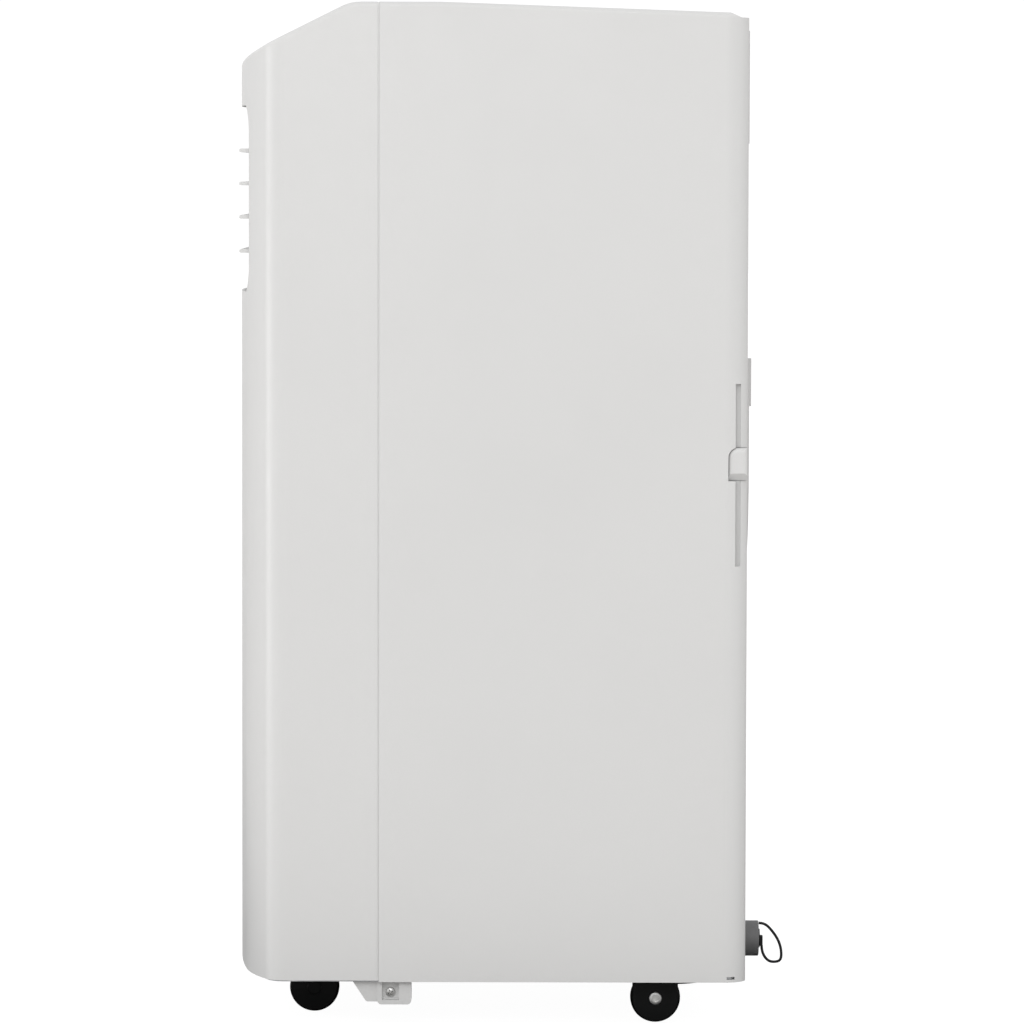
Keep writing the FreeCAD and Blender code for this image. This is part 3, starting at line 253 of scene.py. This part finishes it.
# ---------------------------------------------------------------- materials
class Shader:
    """A node material built up step by step around one Principled shader."""

    def __init__(self, name, colour, roughness, metallic=0.0):
        self.material = bpy.data.materials.new(name)
        self.material.use_nodes = True
        self.tree = self.material.node_tree
        self.nodes = self.tree.nodes
        self.shader = self.nodes["Principled BSDF"]
        self.colour = colour
        self.shader.inputs["Base Color"].default_value = (*colour, 1.0)
        self.shader.inputs["Roughness"].default_value = roughness
        self.shader.inputs["Metallic"].default_value = metallic
        self.place = self.nodes.new("ShaderNodeTexCoord").outputs["Object"]
        self.height = None

    def dull(self, level):
        self.shader.inputs["Specular IOR Level"].default_value = level
        return self

    def link(self, source, target):
        self.tree.links.new(source, target)

    def stretched(self, scale):
        mapping = self.nodes.new("ShaderNodeMapping")
        mapping.inputs["Scale"].default_value = scale
        self.link(self.place, mapping.inputs["Vector"])
        return mapping.outputs["Vector"]

    def noise(self, scale, detail=3.0, rough=0.5, stretch=None):
        node = self.nodes.new("ShaderNodeTexNoise")
        node.inputs["Scale"].default_value = scale
        node.inputs["Detail"].default_value = detail
        node.inputs["Roughness"].default_value = rough
        self.link(self.place if stretch is None else self.stretched(stretch), node.inputs["Vector"])
        return node.outputs["Fac"]

    def cells(self, scale, stretch=None):
        node = self.nodes.new("ShaderNodeTexVoronoi")
        node.inputs["Scale"].default_value = scale
        self.link(self.place if stretch is None else self.stretched(stretch), node.inputs["Vector"])
        return node.outputs["Distance"]

    def spread(self, value, low, high, from_low=0.3, from_high=0.7):
        node = self.nodes.new("ShaderNodeMapRange")
        node.inputs["From Min"].default_value = from_low
        node.inputs["From Max"].default_value = from_high
        node.inputs["To Min"].default_value = low
        node.inputs["To Max"].default_value = high
        self.link(value, node.inputs["Value"])
        return node.outputs["Result"]

    def tint(self, factor, other):
        """Mixes the base colour so far with another one by a factor."""
        node = self.nodes.new("ShaderNodeMix")
        node.data_type = "RGBA"
        source = self.shader.inputs["Base Color"]
        if source.links:
            self.link(source.links[0].from_socket, node.inputs["A"])
        else:
            node.inputs["A"].default_value = (*self.colour, 1.0)
        node.inputs["B"].default_value = (*other, 1.0)
        self.link(factor, node.inputs["Factor"])
        self.link(node.outputs["Result"], source)

    def roughen(self, value):
        self.link(value, self.shader.inputs["Roughness"])

    def bump(self, value, strength, distance):
        node = self.nodes.new("ShaderNodeBump")
        node.inputs["Strength"].default_value = strength
        node.inputs["Distance"].default_value = distance
        self.link(value, node.inputs["Height"])
        if self.height is not None:
            self.link(self.height, node.inputs["Normal"])
        self.height = node.outputs["Normal"]
        self.link(self.height, self.shader.inputs["Normal"])

    def math(self, operation, first, second):
        node = self.nodes.new("ShaderNodeMath")
        node.operation = operation
        for value, socket in zip((first, second), node.inputs):
            if isinstance(value, float):
                socket.default_value = value
            else:
                self.link(value, socket)
        return node.outputs["Value"]

    def axis(self, letter):
        """One coordinate of the point being shaded, in metres."""
        split = self.nodes.new("ShaderNodeSeparateXYZ")
        self.link(self.place, split.inputs["Vector"])
        return split.outputs[letter]


def shade(colour, amount):
    return tuple(channel * amount for channel in colour)


def moulded_plastic(name, colour, roughness, grain=0.05, cloud=0.03):
    """Injection-moulded plastic: spark-eroded grain, faint clouding, hairline scuffs."""
    m = Shader(name, colour, roughness)
    m.tint(m.spread(m.noise(7.0, 4.0), 0.0, 1.0), shade(colour, 1.0 - cloud))
    m.tint(m.spread(m.noise(900.0, 2.0), 0.0, 0.5), shade(colour, 1.0 - cloud))
    m.roughen(m.spread(m.noise(38.0, 5.0), roughness - 0.05, roughness + 0.06))
    m.bump(m.noise(1900.0, 2.0), grain, 0.0002)
    m.bump(m.noise(60.0, 3.0, stretch=(1.0, 1.0, 6.0)), 0.04, 0.0005)
    return m


def dark_plastic(name, colour, roughness, reflection):
    return moulded_plastic(name, colour, roughness, 0.08, 0.2).dull(reflection).material


def rubber(name, colour):
    m = Shader(name, colour, 0.62)
    m.tint(m.spread(m.noise(60.0, 4.0), 0.0, 1.0), shade(colour, 1.5))
    m.roughen(m.spread(m.noise(140.0, 4.0), 0.5, 0.75))
    m.bump(m.noise(1500.0, 3.0), 0.12, 0.0002)
    return m.dull(0.25).material


def plated_steel(name, colour):
    m = Shader(name, colour, 0.3, 1.0)
    m.tint(m.spread(m.noise(220.0, 5.0), 0.0, 1.0), shade(colour, 0.7))
    m.roughen(m.spread(m.noise(90.0, 5.0), 0.22, 0.45))
    m.bump(m.noise(1200.0, 2.0, stretch=(1.0, 1.0, 12.0)), 0.06, 0.0001)
    return m.material


def galvanised_steel(name):
    m = Shader(name, (0.56, 0.57, 0.58), 0.4, 0.9)
    m.tint(m.spread(m.cells(90.0), 0.0, 1.0, 0.1, 0.9), (0.42, 0.43, 0.45))
    m.roughen(m.spread(m.cells(90.0), 0.3, 0.55, 0.1, 0.9))
    m.bump(m.noise(400.0), 0.05, 0.0002)
    return m.material


def fin_aluminium(name):
    m = Shader(name, (0.80, 0.81, 0.83), 0.3, 1.0)
    m.tint(m.spread(m.noise(30.0, 4.0), 0.0, 1.0), (0.62, 0.63, 0.66))
    m.roughen(m.spread(m.noise(120.0, 4.0), 0.25, 0.5))
    m.bump(m.noise(700.0, 2.0, stretch=(1.0, 1.0, 0.1)), 0.08, 0.0002)
    return m.material


def copper(name):
    m = Shader(name, (0.72, 0.38, 0.24), 0.3, 1.0)
    m.tint(m.spread(m.noise(45.0, 5.0), 0.0, 1.0), (0.42, 0.20, 0.13))
    m.roughen(m.spread(m.noise(80.0, 4.0), 0.2, 0.5))
    m.bump(m.noise(600.0), 0.05, 0.0002)
    return m.material


def black_paint(name):
    m = Shader(name, (0.022, 0.022, 0.023), 0.35)
    m.roughen(m.spread(m.noise(60.0, 5.0), 0.28, 0.5))
    m.bump(m.noise(500.0, 3.0), 0.1, 0.0003)
    m.tint(m.spread(m.noise(14.0, 5.0), 0.0, 0.6), (0.05, 0.047, 0.044))
    return m.material


def gloss_panel(name, colour, roughness):
    m = Shader(name, colour, roughness)
    m.shader.inputs["Coat Weight"].default_value = 0.6
    m.shader.inputs["Coat Roughness"].default_value = 0.06
    m.tint(m.spread(m.noise(9.0, 3.0), 0.0, 1.0), shade(colour, 0.94))
    m.roughen(m.spread(m.noise(26.0, 6.0), roughness * 0.8, roughness * 1.4))
    m.bump(m.noise(45.0, 3.0), 0.01, 0.0005)
    return m.material


def solder_mask(name):
    m = Shader(name, (0.02, 0.12, 0.05), 0.3)
    m.tint(m.spread(m.cells(220.0), 0.0, 1.0, 0.2, 0.6), (0.05, 0.22, 0.09))
    m.roughen(m.spread(m.noise(90.0), 0.25, 0.5))
    m.bump(m.cells(260.0), 0.1, 0.0002)
    return m.material


def make_materials():
    return {
        "case_white": moulded_plastic("case_white", (0.735, 0.735, 0.73), 0.42).material,
        "trim_white": moulded_plastic("trim_white", (0.74, 0.74, 0.735), 0.38).material,
        "inner_white": moulded_plastic("inner_white", (0.60, 0.61, 0.61), 0.5).material,
        "panel_grey": gloss_panel("panel_grey", (0.52, 0.52, 0.53), 0.22),
        "display_dark": gloss_panel("display_dark", (0.012, 0.012, 0.014), 0.08),
        "button_grey": moulded_plastic("button_grey", (0.68, 0.68, 0.68), 0.5, 0.08).material,
        "board_green": solder_mask("board_green"),
        "blower_black": moulded_plastic("blower_black", (0.035, 0.035, 0.037), 0.5, 0.08, 0.2).material,
        "motor_steel": plated_steel("motor_steel", (0.55, 0.56, 0.57)),
        "fin_aluminium": fin_aluminium("fin_aluminium"),
        "compressor_black": black_paint("compressor_black"),
        "copper": copper("copper"),
        "pan_steel": galvanised_steel("pan_steel"),
        "mesh_grey": moulded_plastic("mesh_grey", (0.10, 0.10, 0.105), 0.6, 0.1, 0.2).material,
        "collar_grey": moulded_plastic("collar_grey", (0.185, 0.185, 0.188), 0.5, 0.08, 0.15).material,
        "rubber_black": rubber("rubber_black", (0.016, 0.016, 0.017)),
        "screw_steel": plated_steel("screw_steel", (0.68, 0.68, 0.67)),
        "caster_black": dark_plastic("caster_black", (0.006, 0.0065, 0.0065), 0.34, 0.12),
        "wheel_black": dark_plastic("wheel_black", (0.003, 0.003, 0.003), 0.42, 0.06),
    }


SOFT_EDGES = {
    "side_brackets": 0.0006,
    "control_panel": 0.0003,
    "drain_collar": 0.0003,
    "drain_stopper": 0.0003,
    "cord_gland": 0.0003,
    "exhaust_ring": 0.0004,
    "filter_grille": 0.0004,
    "lower_grille": 0.0004,
}


def dress_nodes(materials):
    """Gives every CAD node its slot's material and smooth shading, and rounds the edges that hands meet."""
    for part in frame["record"]["subparts"]:
        name = part["node"]
        node = frame["nodes"][name]
        node.data.materials.clear()
        node.data.materials.append(materials[part["material_slot"]])
        smooth_by_angle(node.data, 32.0)
        if name in SOFT_EDGES:
            weld = node.modifiers.new("weld", "WELD")
            weld.merge_threshold = 0.00001
            bevel = node.modifiers.new("soft_edges", "BEVEL")
            bevel.width = SOFT_EDGES[name]
            bevel.segments = 2
            bevel.limit_method = "ANGLE"
            bevel.angle_limit = math.radians(50)


# ---------------------------------------------------------------- casters
def make_wheels(material):
    for name in CASTERS:
        node = "caster_wheel_" + name
        low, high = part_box(node)
        centre = (low + high) / 2
        half = (high.x - low.x) / 2
        radius = (high.z - low.z) / 2
        bore = 0.0026
        side = [
            (0.0, radius), (half * 0.45, radius * 0.998), (half * 0.8, radius * 0.972),
            (half * 0.97, radius * 0.925), (half, radius * 0.87), (half, radius * 0.80),
            (half * 0.82, radius * 0.775), (half * 0.70, radius * 0.73), (half * 0.68, radius * 0.42),
            (half * 0.74, radius * 0.36), (half, radius * 0.33), (half, bore),
        ]
        profile = [(-along, r) for along, r in reversed(side)] + side[1:]
        bm = bmesh.new()
        ring_lathe(bm, profile, centre, (1, 0, 0), (0, 1, 0), 72)
        for step in range(6):
            spoke(bm, centre, half * 0.80, radius * 0.36, radius * 0.74, step * math.pi / 3)
        wheel = new_object("wheel_" + name, mesh_from(bm, "wheel_" + name, 35), material, "wheel_" + name)
        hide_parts(node)


def spoke(bm, centre, half_x, inner, outer, angle):
    """Raised rib on both faces of a wheel, from hub to rim."""
    out = Vector((0, math.cos(angle), math.sin(angle)))
    across = Vector((0, -math.sin(angle), math.cos(angle)))
    middle = centre + out * (inner + outer) / 2
    block(bm, middle, Vector((half_x, 0, 0)), out * (outer - inner) / 2, across * inner * 0.22)


def make_axles(material):
    """Pin with one domed head that has a round socket, on the side that stands further out of the fork."""
    head_height = 0.0016
    pin = 0.0025
    for name in CASTERS:
        node = "caster_axle_" + name
        low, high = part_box(node)
        fork_low, fork_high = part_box("caster_fork_" + name)
        middle_x = (fork_low.x + fork_high.x) / 2
        side = 1 if high.x - middle_x > middle_x - low.x else -1
        proud = max(high.x - middle_x, middle_x - low.x)
        tip = min(high.x - middle_x, middle_x - low.x)
        seat = proud - head_height
        radius = (high.z - low.z) / 2
        profile = [(-tip, pin), (seat, pin), (seat, radius), (seat + 0.0007, radius),
                   (seat + 0.0013, radius * 0.9), (proud, radius * 0.66), (proud, radius * 0.5),
                   (seat + 0.0002, radius * 0.46)]
        centre = Vector((middle_x, (low.y + high.y) / 2, (low.z + high.z) / 2))
        bm = bmesh.new()
        lathe(bm, profile, centre, (side, 0, 0), (0, 1, 0), 30)
        axle = new_object("axle_" + name, mesh_from(bm, "axle_" + name, 35), material, "caster_" + name)
        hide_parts(node)


# ---------------------------------------------------------------- heat exchangers
def make_coil(node, stand, materials):
    """Stack of thin corrugated fins on rows of copper tubes, between two steel end plates, on a stand."""
    low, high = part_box(node)
    low_z = low.z + stand
    high_z = high.z - 0.002
    bend_reach = 0.0115
    end_x = high.x - bend_reach
    plate = 0.0012
    front, back = low.y + 0.002, high.y - 0.002
    pitch = 0.0026
    count = int(2 * (end_x - plate) / pitch)
    bm = bmesh.new()
    for index in range(count + 1):
        x = -end_x + plate + index * pitch
        fin(bm, x, front, back, low_z, high_z)
    fins = new_object(node + "_fins", mesh_from(bm, node + "_fins", 20), materials["fin_aluminium"],
                      "cabinet")
    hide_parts(node)

    bm = bmesh.new()
    for x in (-end_x, end_x - plate):
        slab(bm, (x, low.y, low_z - 0.001), (x + plate, high.y, high_z + 0.001))
    if stand > 0:
        slab(bm, (0.02 - end_x, front, low.z), (end_x - 0.02, back, low_z - 0.001))
    new_object(node + "_ends", mesh_from(bm, node + "_ends"), materials["pan_steel"], "cabinet")

    tubes = bmesh.new()
    row_pitch = 0.0254
    rows = int((high_z - low_z) / row_pitch)
    radius = 0.0035
    for row in range(rows):
        z = low_z + (row + 0.5) * (high_z - low_z) / rows
        near, far = front + 0.007, back - 0.007
        for y in (near, far):
            straight = [(-end_x - 0.002, radius), (end_x + 0.002, radius)]
            lathe(tubes, straight, (0, y, z), (1, 0, 0), (0, 1, 0), 12)
        for side in (-1, 1):
            hairpin(tubes, side, end_x + 0.001, near, far, z, radius)
    new_object(node + "_tubes", mesh_from(tubes, node + "_tubes", 50), materials["copper"],
               "cabinet")


def fin(bm, x, front, back, low_z, high_z):
    """One fin: a thin sheet folded lightly into six upright strips."""
    thick = 0.00016
    folds = 6
    rims = []
    for side in (0.0, thick):
        rim = []
        for step in range(folds + 1):
            y = front + (back - front) * step / folds
            shift = 0.0004 * (step % 2)
            rim.append([bm.verts.new((x + side + shift, y, z)) for z in (low_z, high_z)])
        rims.append(rim)
    for near, far in zip(*[list(zip(rim, rim[1:])) for rim in rims]):
        bm.faces.new((near[0][0], near[0][1], near[1][1], near[1][0]))
        bm.faces.new((far[0][0], far[1][0], far[1][1], far[0][1]))


def hairpin(bm, side, end_x, near, far, z, radius):
    """Return bend that joins two neighbouring tubes at the end of a coil."""
    middle = (near + far) / 2
    reach = (far - near) / 2
    line = []
    for step in range(13):
        angle = math.pi * step / 12
        line.append((side * (end_x + reach * math.sin(angle)), middle - reach * math.cos(angle), z))
    tube(bm, line, radius, 10)


# ---------------------------------------------------------------- filter net
def make_net(material):
    """Woven net: two sets of strands that pass over and under each other."""
    low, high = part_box("filter_mesh")
    pitch = 0.0032
    middle = (low.y + high.y) / 2
    swing = 0.00028
    radius = 0.00022
    columns = int((high.x - low.x) / pitch)
    rows = int((high.z - low.z) / pitch)
    bm = bmesh.new()
    for row in range(1, rows):
        z = low.z + row * (high.z - low.z) / rows
        line = [(low.x + i * (high.x - low.x) / columns, middle + swing * (-1) ** (i + row), z)
                for i in range(columns + 1)]
        tube(bm, line, radius, 4)
    for column in range(1, columns):
        x = low.x + column * (high.x - low.x) / columns
        line = [(x, middle - swing * (-1) ** (i + column), low.z + i * (high.z - low.z) / rows)
                for i in range(rows + 1)]
        tube(bm, line, radius, 4)
    edge = 0.003
    slab(bm, (low.x, low.y, low.z), (low.x + edge, high.y, high.z))
    slab(bm, (high.x - edge, low.y, low.z), (high.x, high.y, high.z))
    slab(bm, (low.x, low.y, low.z), (high.x, high.y, low.z + edge))
    slab(bm, (low.x, low.y, high.z - edge), (high.x, high.y, high.z))
    net = new_object("filter_net", mesh_from(bm, "filter_net", 30), material, "intake_cover")
    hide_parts("filter_mesh")


# ---------------------------------------------------------------- screws
def screw_head(bm, centre, axis, across, radius, height, shank):
    """Pan head with a cross recess, its shank behind it. The centre is under the head."""
    axis = Vector(axis)
    across = Vector(across)
    up = axis.cross(across)
    profile = [(-shank, 0.0004), (-shank + 0.0012, radius * 0.42), (0.0, radius * 0.42), (0.0, radius),
               (height * 0.35, radius), (height * 0.75, radius * 0.9)]
    rings = lathe(bm, profile, centre, axis, across, 24, close=False)
    bm.faces.new(rings[0])
    arm, half = radius * 0.58, radius * 0.14
    outline = [(half, arm), (half, half), (arm, half), (arm, -half), (half, -half), (half, -arm),
               (-half, -arm), (-half, -half), (-arm, -half), (-arm, half), (-half, half), (-half, arm)]
    rim = [bm.verts.new(Vector(centre) + axis * height + across * a + up * b) for a, b in outline]
    deep = Vector(centre) + axis * height * 0.2
    floor = [bm.verts.new(deep + (across * a + up * b) * 0.6) for a, b in outline]
    edges = []
    for loop in (rings[-1], rim):
        for index, vert in enumerate(loop):
            after = loop[(index + 1) % len(loop)]
            edges.append(bm.edges.get((vert, after)) or bm.edges.new((vert, after)))
    bmesh.ops.triangle_fill(bm, edges=edges, use_beauty=True)
    for index in range(len(outline)):
        after = (index + 1) % len(outline)
        bm.faces.new((rim[index], rim[after], floor[after], floor[index]))
    bm.faces.new(floor)


def islands(node):
    """Boxes (lowest, highest corner) of the separate solids of one CAD node."""
    mesh = frame["nodes"][node].data
    bm = bmesh.new()
    bm.from_mesh(mesh)
    bmesh.ops.remove_doubles(bm, verts=bm.verts, dist=0.00001)
    seen = set()
    boxes = []
    for first in bm.verts:
        if first in seen:
            continue
        seen.add(first)
        group = [first]
        for vert in group:
            for edge in vert.link_edges:
                other = edge.other_vert(vert)
                if other not in seen:
                    seen.add(other)
                    group.append(other)
        low = Vector([min(v.co[i] for v in group) for i in range(3)])
        high = Vector([max(v.co[i] for v in group) for i in range(3)])
        boxes.append((low, high))
    bm.free()
    return boxes


def make_screws(material):
    """The eight case screws: one in each foot, six in the rear face."""
    bm = bmesh.new()
    for low, high in islands("case_screws"):
        middle = (low + high) / 2
        size = high - low
        if size.x > size.y:
            side = 1 if middle.x > 0 else -1
            height = 0.0022
            seat = Vector((side * (max(abs(low.x), abs(high.x)) - height), middle.y, middle.z))
            screw_head(bm, seat, (side, 0, 0), (0, 0.94, 0.34), size.z / 2, height, size.x - height)
        else:
            height = 0.0016
            seat = Vector((middle.x, high.y - height, middle.z))
            turn = 9.0 * middle.x + 7.0 * middle.z
            slot = (math.cos(turn), 0, math.sin(turn))
            screw_head(bm, seat, (0, 1, 0), slot, size.z / 2, height, size.y - height)
    screws = new_object("screws", mesh_from(bm, "screws", 30), material, "cabinet")
    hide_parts("case_screws")


# ---------------------------------------------------------------- control panel
def panel_axes():
    """Right, uphill and outward directions of the sloped control panel, from how a button moves."""
    joints = frame["record"]["behaviour"]["joints"]
    press = next(joint for joint in joints if joint["child"] == "button_power")
    outward = -Vector(press["axis"]).normalized()
    across = Vector((1, 0, 0))
    return across, outward.cross(across), outward


def make_buttons(material):
    """Dished button caps, each with its own raised tactile mark; the marks are plain dots and bars."""
    across, uphill, outward = panel_axes()
    marks = {"power": "ring", "mode": "bars", "fan": "dots", "warmer": "up", "cooler": "down"}
    for name, mark in marks.items():
        node = "button_" + name
        low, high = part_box(node)
        middle = (low + high) / 2
        verts = [Vector(v.co) for v in frame["nodes"][node].data.vertices]
        heights = [(v - middle).dot(outward) for v in verts]
        top, base = max(heights), min(heights)
        skirt = max((v - middle - outward * (v - middle).dot(outward)).length for v in verts)
        radius = skirt - 0.0012
        profile = [(base, skirt), (base + 0.0014, skirt), (base + 0.0014, radius), (top - 0.0005, radius),
                   (top - 0.00015, radius - 0.00015), (top, radius - 0.0006), (top - 0.00012, radius * 0.72),
                   (top - 0.00035, radius * 0.45), (top - 0.00045, radius * 0.12)]
        bm = bmesh.new()
        lathe(bm, profile, middle, outward, across, 40)
        dish = middle + outward * (top - 0.0005)
        raise_mark(bm, mark, dish, across, uphill, outward)
        button = new_object(node + "_cap", mesh_from(bm, node + "_cap", 30), material, node)
        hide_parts(node)


def raise_mark(bm, mark, centre, across, uphill, outward):
    """Adds a raised mark in the cap's dish; bars and dots are (x, y, wide, tall), sized in units."""
    unit = 0.0006
    lift = 0.0003
    if mark == "ring":
        hoop = [(0, 0.0017), (2 * lift, 0.0017), (2 * lift, 0.0021), (0, 0.0021)]
        ring_lathe(bm, hoop, centre, outward, across, 32)
        return
    spots = {
        "bars": [(-0.0012, 0, 0.4, 2.4), (0, 0, 0.4, 2.4), (0.0012, 0, 0.4, 2.4)],
        "dots": [(0.0014 * math.cos(a), 0.0014 * math.sin(a), 0.7, 0.7) for a in (0.5, 2.6, 4.7)],
        "up": [(0, 0, 2.8, 0.6), (0, 0, 0.6, 2.8)],
        "down": [(0, 0, 2.8, 0.6)],
    }[mark]
    for x, y, wide, tall in spots:
        middle = centre + across * x + uphill * y + outward * lift
        block(bm, middle, across * unit * wide / 2, uphill * unit * tall / 2, outward * lift)


# ---------------------------------------------------------------- compressor and pipes
def make_compressor_seam(material):
    """Weld bead round the compressor where its two half shells meet."""
    low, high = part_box("compressor")
    foot_overhang = 0.008
    body = (high.y - low.y) / 2 - foot_overhang
    centre = (low + high) / 2
    seam_height = 0.74
    centre.z = low.z + seam_height * (high.z - low.z)
    bead = [(-0.0025, body - 0.001), (-0.0025, body + 0.0006), (0.0, body + 0.0014), (0.0025, body + 0.0006),
            (0.0025, body - 0.001)]
    bm = bmesh.new()
    ring_lathe(bm, bead, centre, (0, 0, 1), (1, 0, 0), 64)
    new_object("compressor_seam", mesh_from(bm, "compressor_seam"), material, "cabinet")


# ---------------------------------------------------------------- stage
def make_floor():
    """Pale paper floor; under and behind the object it is lit from below like a light table."""
    reach = 30.0
    fade = 0.08
    lit_half_width, dark_half_width = 0.43, 0.55
    widening = 0.09
    glow = 0.97
    mesh = bpy.data.meshes.new("floor")
    mesh.from_pydata([(-reach, -reach, 0), (reach, -reach, 0), (reach, reach, 0), (-reach, reach, 0)],
                     [], [(0, 1, 2, 3)])
    floor = bpy.data.objects.new("floor", mesh)
    floor.location.z = cad_low.z - 0.0002
    bpy.context.collection.objects.link(floor)
    paper = Shader("floor_paper", (0.68, 0.665, 0.65), 0.8)
    paper.roughen(paper.spread(paper.noise(5.0), 0.75, 0.85))
    side = cad_high.x
    ahead = paper.spread(paper.axis("X"), 1.0, 0.0, side, side + fade)
    sideways = paper.math("ABSOLUTE", paper.axis("Y"), 0.0)
    edge = paper.math("ADD", sideways, paper.math("MULTIPLY", paper.axis("X"), widening))
    inside = paper.spread(edge, 1.0, 0.0, lit_half_width, dark_half_width)
    lit = paper.math("MULTIPLY", ahead, inside)
    paper.tint(lit, (0.08, 0.08, 0.08))
    paper.shader.inputs["Emission Color"].default_value = (1.0, 1.0, 1.0, 1.0)
    paper.link(paper.math("MULTIPLY", lit, glow), paper.shader.inputs["Emission Strength"])
    mesh.materials.append(paper.material)
    lit_by_floor = bpy.data.collections.new("lit_by_floor")
    lit_by_floor.objects.link(floor)
    floor.light_linking.receiver_collection = lit_by_floor


def make_surround():
    """White studio wall behind the object, softly lit room everywhere else."""
    wall_level, room_level = 1.05, 0.82
    wall_until, room_from = -0.985, -0.93
    world = bpy.data.worlds.new("studio")
    world.use_nodes = True
    nodes = world.node_tree.nodes
    links = world.node_tree.links
    direction = nodes.new("ShaderNodeTexCoord").outputs["Generated"]
    split = nodes.new("ShaderNodeSeparateXYZ")
    links.new(direction, split.inputs["Vector"])
    level = nodes.new("ShaderNodeMapRange")
    level.inputs["From Min"].default_value = wall_until
    level.inputs["From Max"].default_value = room_from
    level.inputs["To Min"].default_value = wall_level
    level.inputs["To Max"].default_value = room_level
    links.new(split.outputs["X"], level.inputs["Value"])
    background = nodes["Background"]
    background.inputs["Color"].default_value = (1.0, 1.0, 1.0, 1.0)
    links.new(level.outputs["Result"], background.inputs["Strength"])
    bpy.context.scene.world = world


def add_light(name, place, size, power):
    data = bpy.data.lights.new(name, "AREA")
    data.shape = "SQUARE"
    data.size = size
    data.energy = power
    light = bpy.data.objects.new(name, data)
    light.location = place
    middle = (cad_low + cad_high) / 2
    light.rotation_mode = "QUATERNION"
    light.rotation_quaternion = (middle - Vector(place)).to_track_quat("-Z", "Y")
    bpy.context.collection.objects.link(light)


def make_stage():
    make_floor()
    make_surround()
    add_light("key", (2.3, -0.3, 1.25), 1.0, 12.4)
    add_light("front", (0.0, -2.4, 0.25), 1.2, 15.0)
    add_light("rear", (0.7, 2.4, 1.1), 1.2, 2.6)
    bpy.context.scene.view_settings.view_transform = "Standard"


# ---------------------------------------------------------------- build
make_camera()
materials = make_materials()
dress_nodes(materials)
make_leash(materials["rubber_black"])
make_wheels(materials["wheel_black"])
make_axles(materials["screw_steel"])
make_screws(materials["screw_steel"])
make_buttons(materials["button_grey"])
make_coil("evaporator_coil", 0.0, materials)
make_coil("condenser_coil", 0.012, materials)
make_compressor_seam(materials["compressor_black"])
make_net(materials["mesh_grey"])
make_stage()
